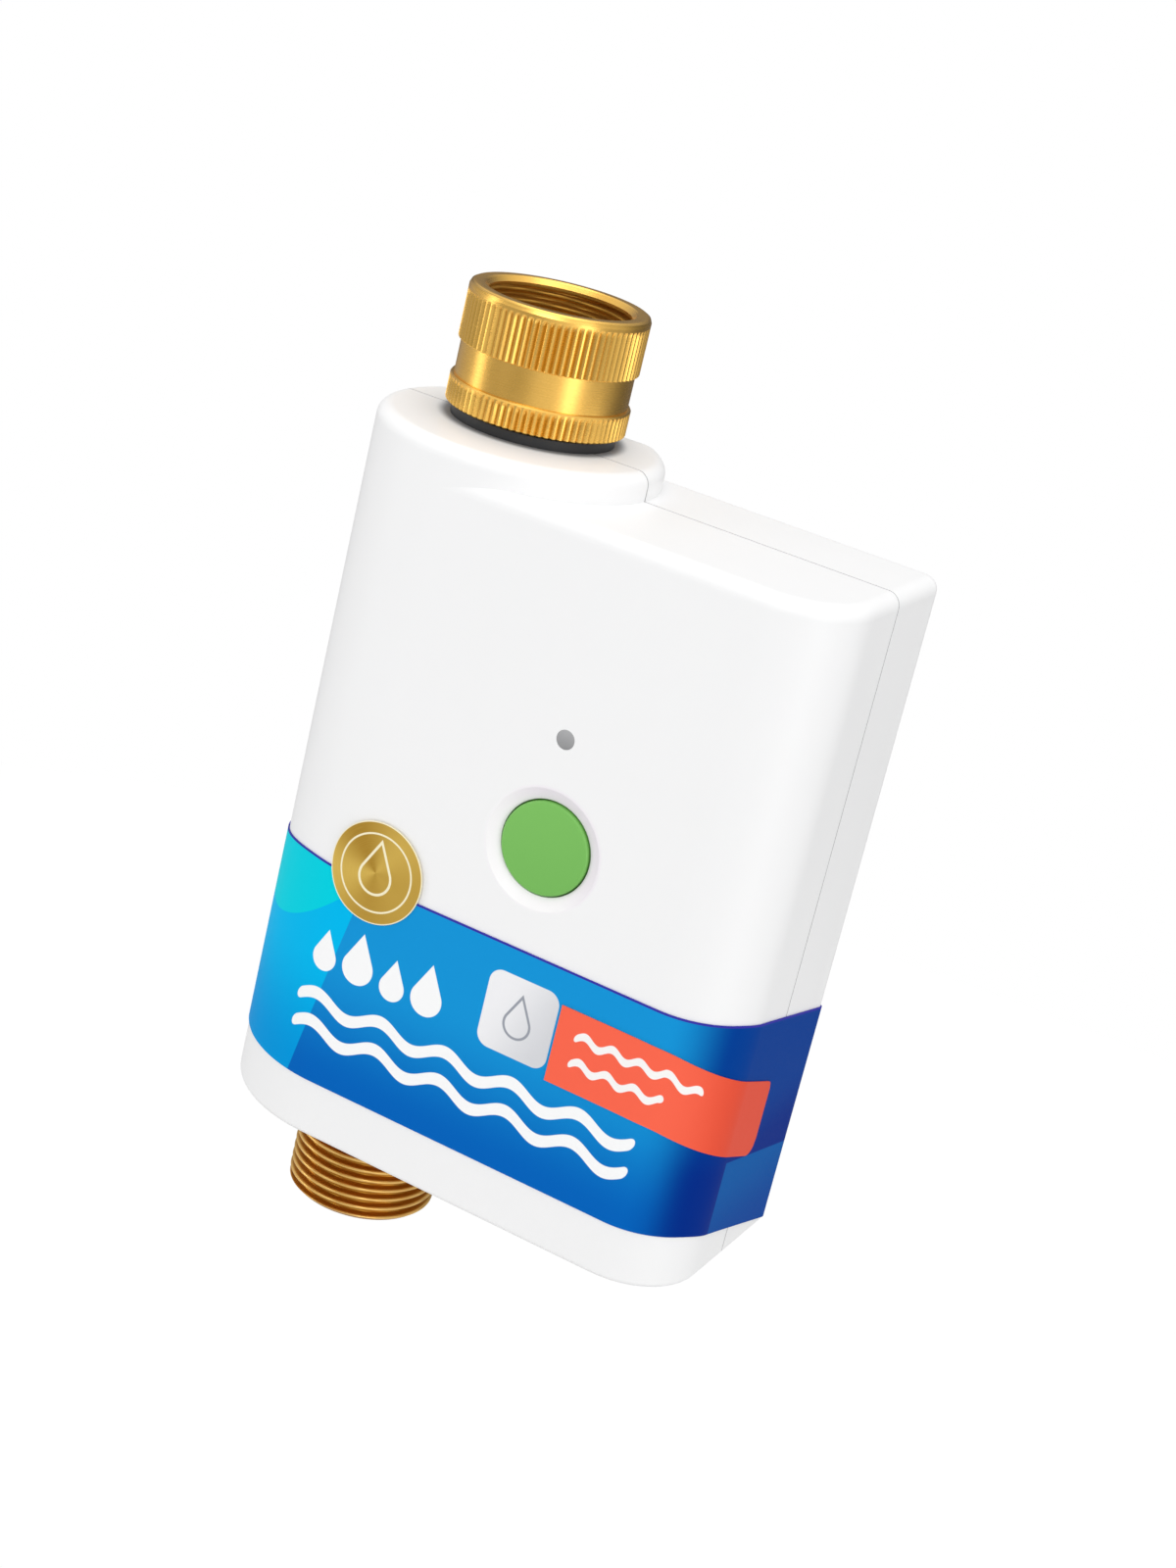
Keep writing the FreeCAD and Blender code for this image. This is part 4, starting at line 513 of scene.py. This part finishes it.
# Filter: a thimble of stainless wire rings and ribs that hangs in the tail pipe by a pressed rim.
# A small pressed disc closes its tip.
def wire_cone_recipe():
    """Stacks rings of wire from a low to a high radius, and lays slanting ribs of wire over them."""
    t, take = new_recipe("wire_cone", "Start", {
        "Rings": 20, "Ribs": 48, "Low Radius": 0.003, "High Radius": 0.007, "Low": -0.01, "High": 0.0,
        "Wire Radius": 0.0001})

    def spot(x, y, z):
        return t.node("ShaderNodeCombineXYZ", {}, [x, y, z])

    gaps = take["Rings"] - 1
    rise = spot(0.0, 0.0, (take["High"] - take["Low"]) / gaps)
    ladder = t.node("GeometryNodeMeshLine", {}, {"Count": take["Rings"], "Offset": rise,
                                                 "Start Location": spot(0.0, 0.0, take["Low"])})
    share = t.node("GeometryNodeInputIndex") / gaps
    size = take["Low Radius"] + (take["High Radius"] - take["Low Radius"]) * share
    loop = t.node("GeometryNodeCurvePrimitiveCircle", {}, {"Resolution": 72, "Radius": 1.0})
    rings = t.node("GeometryNodeInstanceOnPoints", {}, {"Points": ladder, "Instance": loop,
                                                        "Scale": spot(size, size, 1.0)})
    slant = t.node("GeometryNodeCurvePrimitiveLine", {}, {"Start": spot(take["Low Radius"], 0.0, take["Low"]),
                                                          "End": spot(take["High Radius"], 0.0, take["High"])})
    hub = t.node("GeometryNodeMeshLine", {}, {"Count": take["Ribs"], "Offset": (0.0, 0.0, 0.0)})
    spin = t.node("GeometryNodeInputIndex") / take["Ribs"] * (2 * math.pi)
    ribs = t.node("GeometryNodeInstanceOnPoints", {}, {"Points": hub, "Instance": slant,
                                                       "Rotation": spot(0.0, 0.0, spin)})
    cone = t.node("GeometryNodeJoinGeometry")
    for wires in (rings, ribs):
        t.plug(cone.socket.node.inputs[0], wires)
    section = t.node("GeometryNodeCurvePrimitiveCircle", {}, {"Resolution": 5, "Radius": take["Wire Radius"]})
    tubes = t.node("GeometryNodeCurveToMesh", {}, {"Curve": t.node("GeometryNodeRealizeInstances", {}, [cone]),
                                                   "Profile Curve": section, "Fill Caps": True})
    return end_recipe(t, tubes, take["Finish"])


def metal(name, colour, roughness, streak=(1, 1, 1), scale=700.0, depth=0.000008, spread=0.10):
    """Bare or plated metal with the streaks of its making."""
    made = Finish(name, Metallic=1.0)
    marks = made.noise(scale, 3.0, streak)
    dull = made.noise(150.0)
    made.set("Base Color", made.blend(dull, *two_tones(colour, spread)))
    made.set("Roughness", roughness - 0.06 + 0.12 * marks)
    made.relief(marks, depth)
    return made


mesh_steel = metal("mesh_steel", (0.56, 0.56, 0.57), 0.34)
filter_start = bpy.data.objects.new("filter_start", bpy.data.meshes.new("filter_start"))
filter_wires = made_plain("filter_wires", filter_start, wire_cone_recipe(), {
    "Rings": 26, "Ribs": 56, "Low Radius": 0.0029, "High Radius": 0.0070, "Low": -0.0108, "High": -0.0020,
    "Wire Radius": 0.00009, "Finish": mesh_steel.material})
rim_corners = [(6.9, -2.0), (7.2, -2.2), (8.4, -2.0), (8.4, -1.3), (8.3, -1.2), (7.0, -1.2), (6.9, -1.3)]
filter_rim = turned("filter_rim", rim_corners, mesh_steel, columns=96)
tip_corners = [(0.02, -11.0), (2.9, -11.0), (3.05, -10.85), (2.9, -10.7), (0.02, -10.7)]
filter_tip = turned("filter_tip", tip_corners, mesh_steel, columns=48)
for piece in (filter_wires, filter_rim, filter_tip):
    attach(piece, "case")
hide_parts("filter_screen")

# Printed film round the lower body: blue fields that meet at slanting edges, water shapes in white ink, and a
# pale badge. It is laminated vinyl, laid round the tower, the front and the right side, cut level in front.

# The skin that carries it, in mm: radii of its round places, and of the film there, along which a run counts.
TOWER_R, TOWER_FILM_R, TOWER_Y = 24.4, 24.6, -2.8
FRONT_Y, FLAT_END = -27.2, 57.9
CORNER_R, CORNER_FILM_R, CORNER_Y = 13, 13.2, -14.2
SIDE_X, SIDE_LONG = 70.9, 27.0
REAR_R, REAR_FILM_R, REAR_X, REAR_Y = 3, 3.2, 67.9, 12.8
# The film's edges, in mm: each is level in front, then bends over a short way and falls along the right side.
TOP_EDGE, TOP_FALL, TOP_FALL_START = -85.8, 0.205, 73.5
FOOT_EDGE, FOOT_FALL, FOOT_FALL_START = -124.5, 0.275, 73.0
EDGE_BEND = 3.0
TOWER_DIP, DIP_START, DIP_END = 3.0, 8.0, 36.0
RIGHT_PART = 50.0


def wrapped(x, y):
    """How far round the case a point lies, along its skin from the front of the tower, in metres."""
    flat_end, corner_y = FLAT_END / 1000, CORNER_Y / 1000
    tower = x.maths("MINIMUM", 0.0).maths("ARCTAN2", TOWER_Y / 1000 - y) * (TOWER_FILM_R / 1000) * (x < 0.0)
    flat = (x | 0.0).maths("MINIMUM", flat_end)
    corner = ((x - flat_end) | 0.0).maths("ARCTAN2", (corner_y - y) | 0.0) * (CORNER_FILM_R / 1000)
    return tower + flat + corner + ((y - corner_y) | 0.0) * (x > RIGHT_PART / 1000)


def inked(distance):
    """1 inside a printed shape, from the distance to its edge."""
    return 1 - distance.rise(-0.00007, 0.00007)


def thin_line(distance):
    """1 on a fine printed line, from the distance to its middle."""
    return inked(abs(distance) - 0.00022)


def wave(along, up, first, last, height, swing, length, width):
    """A wavy stroke with round ends, from first to last along the film."""
    middle = height + swing * ((along - first) * (2 * math.pi / length)).maths("SINE")
    past = (along - last) | (first - along) | 0.0
    off = (up - middle) * 0.86
    return inked(from_centre(off, past) - width / 2)


def drop(along, up, x, z, radius):
    """Distance to the edge of a water drop: a disc and the two straight sides that meet over it."""
    dx = abs(along - x)
    dz = up - z
    lean = math.radians(28)
    disc = from_centre(dx, dz) - radius
    side = dx * math.cos(lean) + dz * math.sin(lean) - radius
    return disc + (side - disc) * (dz > radius * math.sin(lean))


film_blue = Finish("film_blue", IOR=1.5, Specular_IOR_Level=0.02)
lx, ly, lz = film_blue.axes()
along = wrapped(lx, ly)
# The ground: lighter at the top, navy round the corner, and a middle blue low on the side.
CORNER_START, SIDE_START = 0.0605, 0.0791
deeper = (-0.0995 - lz).rise(0.0, 0.0240)
blue = film_blue.blend(deeper, (0.0085, 0.305, 0.700), (0.0015, 0.128, 0.510))
blue = film_blue.blend((along - CORNER_START).rise(0.0, 0.0115), blue, (0.0003, 0.050, 0.305))
fold = (along - 0.0640).rise(0.0, 0.0080) * (-0.1030 - lz).rise(0.0, 0.0120)
blue = film_blue.blend(fold, blue, (0.0004, 0.026, 0.250))
past_side = along - SIDE_START
low_side = past_side.rise(0.0, 0.0002) * (-0.1127 - past_side * 0.209 - lz).rise(0.0, 0.0002)
side_blue = film_blue.blend((-0.1150 - lz).rise(0.0, 0.0170), (0.0010, 0.110, 0.405), (0.0010, 0.064, 0.340))
blue = film_blue.blend(low_side, blue, side_blue)
# A lighter field round the tower, left of a slanting edge, with a pool of cyan at its top.
slant = inked(along - 0.00115 - (lz + 0.0924) * 0.1954)
azure = film_blue.blend(deeper, (0.001, 0.500, 0.880), (0.0006, 0.315, 0.735))
blue = film_blue.blend(slant, blue, azure)
bow = along + 0.00787  # the pool's foot is part of a parabola
pool = inked(-0.09572 + 0.372 * bow + 26.45 * bow * (bow + 0.01158) - lz) * (along < 0.0045)
blue = film_blue.blend(pool, blue, (0.0010, 0.660, 0.780))
# The water shapes in white ink: two long waves under four drops.
LONG_WAVE = {"first": -0.0055, "last": 0.0590, "swing": 0.0012, "length": 0.0129, "width": 0.0019}
water = wave(along, lz, height=-0.1098, **LONG_WAVE) | wave(along, lz, height=-0.1150, **LONG_WAVE)
for x, z, radius in ((-0.0025, -0.1019, 0.0024), (0.0042, -0.1012, 0.0030),
                     (0.0112, -0.1019, 0.0024), (0.0179, -0.1012, 0.0030)):
    water = water | inked(drop(along, lz, x, z, radius))
ink = film_blue.blend(water, blue, (0.975, 0.98, 0.985))
# The badge: a pale square with round corners and the outline of a drop.
BADGE_X, BADGE_Z, BADGE_ROUND = 0.0349, -0.0974, 0.0024
badge_x, badge_z = along - BADGE_X, lz - BADGE_Z
badge = inked(from_centre((abs(badge_x) - 0.0042) | 0.0, (abs(badge_z) - 0.0046) | 0.0) - BADGE_ROUND)
pale = film_blue.blend((badge_x - badge_z * 0.4).rise(-0.006, 0.008), (0.90, 0.90, 0.92), (0.68, 0.69, 0.72))
mark = thin_line(drop(along, lz, BADGE_X, BADGE_Z - 0.0012, 0.0024))
ink = film_blue.blend(badge, ink, film_blue.blend(mark, pale, (0.33, 0.35, 0.40)))
# A thin dark line along the film's upper edge.
falling = (along - TOP_FALL_START / 1000) * (lx > RIGHT_PART / 1000)
bent = falling + (falling * falling + (EDGE_BEND / 1000) ** 2).maths("SQRT")
cut = TOP_EDGE / 1000 - bent * (TOP_FALL / 2) * (lx > RIGHT_PART / 1000)
cut = cut - TOWER_DIP / 1000 * (-along).rise(DIP_START / 1000, DIP_END / 1000)
film_blue.set("Base Color", film_blue.blend((lz - cut).rise(-0.00040, -0.00026), ink, (0.040, 0.036, 0.380)))
mottle = film_blue.noise(1400.0, 2.0)
film_blue.set("Roughness", 0.44 + 0.06 * mottle)
film_blue.relief(mottle, 0.000004)


def skin_point(run, lift):
    """The place on the case's skin after a run from the tower's front, both in mm, lifted off by the lift."""
    if run < 0:
        turn = run / TOWER_FILM_R
        return (TOWER_R + lift) * math.sin(turn), TOWER_Y - (TOWER_R + lift) * math.cos(turn)
    if run < FLAT_END:
        return run, FRONT_Y - lift
    turn = (run - FLAT_END) / CORNER_FILM_R
    if turn < math.pi / 2:
        return FLAT_END + (CORNER_R + lift) * math.sin(turn), CORNER_Y - (CORNER_R + lift) * math.cos(turn)
    run -= FLAT_END + CORNER_FILM_R * math.pi / 2
    if run < SIDE_LONG:
        return SIDE_X + lift, CORNER_Y + run
    turn = (run - SIDE_LONG) / REAR_FILM_R
    return REAR_X + (REAR_R + lift) * math.cos(turn), REAR_Y + (REAR_R + lift) * math.sin(turn)


def eased(past, width):
    """0 well before its start and equal to past well beyond it, with a soft bend between."""
    return (past + math.hypot(past, width)) / 2


def laid_round(name, first, last, top, bottom, lift, thick, finish):
    """A thin film on the case's skin between two curves, closed at its edges."""
    count = math.ceil((last - first) / 0.4)
    points, faces = [], []
    for i in range(count + 1):
        run = first + (last - first) * i / count
        for out in (lift + thick, lift):
            x, y = skin_point(run, out)
            points += [(x / 1000, y / 1000, z / 1000) for z in (bottom(run), top(run))]
    for i in range(count):
        a, b = 4 * i, 4 * i + 4
        faces += [(a, b, b + 1, a + 1), (a + 1, b + 1, b + 3, a + 3),
                  (a + 3, b + 3, b + 2, a + 2), (a + 2, b + 2, b, a)]
    end = 4 * count
    faces += [(0, 1, 3, 2), (end, end + 2, end + 3, end + 1)]
    sheet = bpy.data.meshes.new(name)
    sheet.from_pydata(points, [], faces)
    sheet.materials.append(finish.material)
    sheet.shade_smooth()
    sheet.set_sharp_from_angle(angle=math.radians(40))
    piece = bpy.data.objects.new(name, sheet)
    scene.collection.objects.link(piece)
    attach(piece, "case")
    return piece


def film_top(run):
    """The film's upper edge: it dips a little round the tower and falls along the right side."""
    share = min(1.0, max(0.0, (-run - DIP_START) / (DIP_END - DIP_START)))
    return TOP_EDGE - TOWER_DIP * share * share * (3 - 2 * share) - TOP_FALL * eased(run - TOP_FALL_START, EDGE_BEND)


def film_foot(run):
    """The film's lower edge."""
    return FOOT_EDGE - FOOT_FALL * eased(run - FOOT_FALL_START, EDGE_BEND)


FILM_FIRST, FILM_LAST = -54.6, 108.6
FILM_LIFT, FILM_THICK = 0.06, 0.2
film = laid_round("printed_film", FILM_FIRST, FILM_LAST, film_top, film_foot, FILM_LIFT, FILM_THICK, film_blue)
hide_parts("label")

# Round sticker over the film's top edge: gold foil with a painted fan of shine and brushed streaks, printed in cream
# with a ring and the outline of a drop, and a painted cream highlight at its cut rim. It is stuck on last, half on
# the film and half on the bare case.
DISC_X, DISC_Z = 0.0038, -0.0836
foil_gold = Finish("foil_gold", IOR=1.5)
gx, _, gz = foil_gold.axes()
gx, gz = gx - DISC_X, gz - DISC_Z
gold_r = from_centre(gx, gz)
turn = gz.maths("ARCTAN2", gx)
# Painted sheen: a fan of lighter and darker lobes round the middle, coloured into the foil.
painted_shine_fan = (turn * 2 + 0.5).maths("SINE") * 0.30 + (turn * 3 - 2.2).maths("SINE") * 0.22 + 0.5
brushed = foil_gold.node("ShaderNodeCombineXYZ", {}, [gold_r * 6000.0, turn * 1.5, 0.0])
hair = foil_gold.node("ShaderNodeTexNoise", {"noise_dimensions": "2D"}, {"Vector": brushed, "Scale": 1.0,
                                                                         "Detail": 3.0})
foil = foil_gold.blend(painted_shine_fan, (0.50, 0.270, 0.022), (0.88, 0.600, 0.120))
foil = foil_gold.blend(hair * 0.40, foil, (0.72, 0.46, 0.08))
outline = thin_line(drop(gx, gz, 0.0, -0.0008, 0.0030))
ring = inked(abs(gold_r - 0.0068) - 0.00016)
# Painted highlight: a pale cream line at the cut rim.
painted_rim_highlight = gold_r.rise(0.00868, 0.00876)
cream_print_and_rim_highlight = outline | ring | painted_rim_highlight
foil_gold.set("Base Color", foil_gold.blend(cream_print_and_rim_highlight, foil, (0.97, 0.90, 0.62)))
foil_gold.set("Metallic", 0.60 * (1 - cream_print_and_rim_highlight))
foil_gold.set("Roughness", 0.32 + 0.10 * hair)
foil_gold.relief(hair, 0.000004)
dress(foil_gold, "disc_sticker")

# Coral panel: a second vinyl sticker on the film with two plain wave strokes, bent round the front corner.
# Its two corners at the right end are cut round.
PANEL_FIRST, PANEL_LAST = 42.0, 90.0
PANEL_TOP, PANEL_FOOT = -91.7, -105.4
PANEL_FALL_START, PANEL_BEND = 61.8, 2.5
PANEL_LIFT, PANEL_THICK = 0.31, 0.15
panel_coral = Finish("panel_coral", IOR=1.5, Specular_IOR_Level=0.06)
tx, ty, tz = panel_coral.axes()
panel_along = wrapped(tx, ty)
levelled = tz + ((panel_along - PANEL_FALL_START / 1000) | 0.0) * 0.34
SHORT_WAVE = {"first": 0.0460, "swing": 0.0006, "length": 0.0051, "width": 0.0012}
strokes = wave(panel_along, levelled, last=0.0680, height=-0.0960, **SHORT_WAVE)
strokes = strokes | wave(panel_along, levelled, last=0.0620, height=-0.1006, **SHORT_WAVE)
# Painted shade: the coral darkens round the front corner onto the side.
coral_with_painted_shade = panel_coral.blend((panel_along - 0.062).rise(0.0, 0.016), (0.98, 0.142, 0.078), (0.80, 0.078, 0.035))
panel_coral.set("Base Color", panel_coral.blend(strokes, coral_with_painted_shade, (0.97, 0.95, 0.93)))
panel_mottle = panel_coral.noise(1400.0, 2.0)
panel_coral.set("Roughness", 0.36 + 0.06 * panel_mottle)
panel_coral.relief(panel_mottle, 0.000004)


def cut_round(run, radius):
    """How far a rounded corner at the panel's right end steps back from its edge."""
    past = max(0.0, run - PANEL_LAST + radius)
    return radius - math.sqrt(max(0.0, radius * radius - past * past))


def panel_top(run):
    """The panel's upper edge."""
    return PANEL_TOP - 0.335 * eased(run - PANEL_FALL_START, PANEL_BEND) - cut_round(run, 1.2)


def panel_foot(run):
    """The panel's lower edge."""
    return PANEL_FOOT - 0.35 * eased(run - PANEL_FALL_START, PANEL_BEND) + cut_round(run, 3.4)


panel = laid_round("coral_panel", PANEL_FIRST, PANEL_LAST, panel_top, panel_foot, PANEL_LIFT, PANEL_THICK,
                   panel_coral)
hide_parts("tag_sticker")

# Screws of the case, door, board and gearbox: zinc-plated steel with crossed recesses, driven into moulded
# bosses. The gear's clip, the idler's axle and the motor's shaft have the same bright finish.
dress(metal("zinc_steel", (0.58, 0.585, 0.60), 0.33, scale=1500.0), "case_screws", "door_screw", "board_screws",
      "base_screws", "gearbox_screws", "motor_screws", "gear_clip", "idler_axle", "motor_shaft")

# Batteries: two plain-wrapped cells with a copper-coloured band at the positive end and bare steel ends.
# They stand side by side, the left one with its positive end up, between nickel-plated contacts.
CELL_TOP, CELL_FOOT, BETWEEN_CELLS = -0.0331, -0.0836, 0.0435
cell_wrap = Finish("cell_wrap", IOR=1.5, Coat_Weight=0.4, Coat_Roughness=0.1)
cx, _, cz = cell_wrap.axes()
plus_up = cx < BETWEEN_CELLS
from_plus = (CELL_TOP - cz) * plus_up + (cz - CELL_FOOT) * (1 - plus_up)
band = from_plus < 0.0140
steel = (from_plus < 0.0014) | (from_plus > 0.0499)
dents = cell_wrap.noise(300.0, 2.0)
wrap = cell_wrap.blend(band, (0.016, 0.017, 0.020), (0.50, 0.245, 0.09))
cell_wrap.set("Base Color", cell_wrap.blend(steel, wrap, (0.62, 0.62, 0.62)))
cell_wrap.set("Metallic", steel | band * 0.8)
cell_wrap.set("Roughness", 0.24 + 0.1 * dents)
cell_wrap.relief(dents, 0.00001)
dress(cell_wrap, "battery_cells")
dress(metal("nickel", (0.66, 0.64, 0.60), 0.26, (1, 1, 8), 500.0), "contact_plates", "contact_springs")

# Circuit board: green laminate with copper tracks under the resist, tinned shield, black chips and a
# sleeved capacitor soldered to it, and cream nylon connectors for the leads. It is screwed to the front shell.
laminate = Finish("laminate", IOR=1.5, Coat_Weight=0.5, Coat_Roughness=0.15)
tracks = laminate.node("ShaderNodeTexBrick", {}, {"Vector": laminate.place, "Scale": 420.0, "Mortar Size": 0.05,
                                                  "Color1": (0, 0, 0), "Color2": (0, 0, 0), "Mortar": (1, 1, 1)})
laminate.set("Base Color", laminate.blend(tracks, (0.008, 0.075, 0.028), (0.020, 0.140, 0.050)))
weave = laminate.noise(900.0, 2.0)
laminate.set("Roughness", 0.35 + 0.1 * weave)
laminate.relief(weave, 0.00001)
dress(laminate, "board")
dress(metal("tinned", (0.64, 0.64, 0.63), 0.38, (6, 1, 1), 400.0), "radio_shield", "motor_lugs")
dress(moulded("chip_black", (0.018, 0.018, 0.020), 0.48), "chips", "limit_switches", "push_switch")
dress(moulded("sleeve_dark", (0.020, 0.026, 0.060), 0.28), "storage_capacitor")
dress(moulded("nylon_cream", (0.78, 0.76, 0.68), 0.45), "lead_connectors")

# Leads: fine stranded wire in soft coloured insulation, from the board to the motor, the limit switches and
# the battery contacts.
for name, colour in (("motor_leads", (0.42, 0.02, 0.015)), ("switch_leads", (0.55, 0.50, 0.05)),
                     ("battery_leads", (0.36, 0.015, 0.012))):
    dress(moulded(name + "_sleeve", colour, 0.42), name)

# Valve and drive: a chromed ball between white seats, wheels moulded in natural acetal under a cover of the
# same, and a pressed steel plate that carries the steel motor can.
dress(metal("chromed", (0.76, 0.77, 0.79), 0.10, scale=300.0, depth=0.000003, spread=0.04), "valve_ball")
dress(moulded("seat_white", (0.82, 0.82, 0.80), 0.38), "ball_seats")
dress(moulded("acetal", (0.78, 0.76, 0.70), 0.40), "output_gear", "idler_gear", "gearbox_cover")
dress(metal("plate_steel", (0.56, 0.56, 0.57), 0.36, (1, 1, 12), 400.0), "gearbox_base", "motor_can")

# Floor: a plain pale sheet well below the part, which hangs from a tap in use. The camera sees it nearly white,
# and it keeps the part's faint shadow.
FLOOR_X, FLOOR_R, FLOOR_Z, FLOOR_SIDES = 0.02, 0.62, -0.33, 64
turns = [2 * math.pi * i / FLOOR_SIDES for i in range(FLOOR_SIDES)]
floor_sheet = bpy.data.meshes.new("floor")
floor_sheet.from_pydata([(FLOOR_X + FLOOR_R * math.cos(a), FLOOR_R * math.sin(a), FLOOR_Z) for a in turns], [],
                        [tuple(range(FLOOR_SIDES))])
floor = bpy.data.objects.new("floor", floor_sheet)
scene.collection.objects.link(floor)
floor_white = Finish("floor_white", Base_Color=(0.62, 0.62, 0.62), Roughness=0.8)
glow = floor_white.node("ShaderNodeEmission", {}, {"Strength": 1.05})
lit = Wire(floor_white, floor_white.shader.outputs[0])
floor_white.plug(floor_white.output.inputs["Surface"],
                 floor_white.node("ShaderNodeMixShader", {}, [floor_white.in_view() * 0.9, lit, glow]))
floor_sheet.materials.append(floor_white.material)
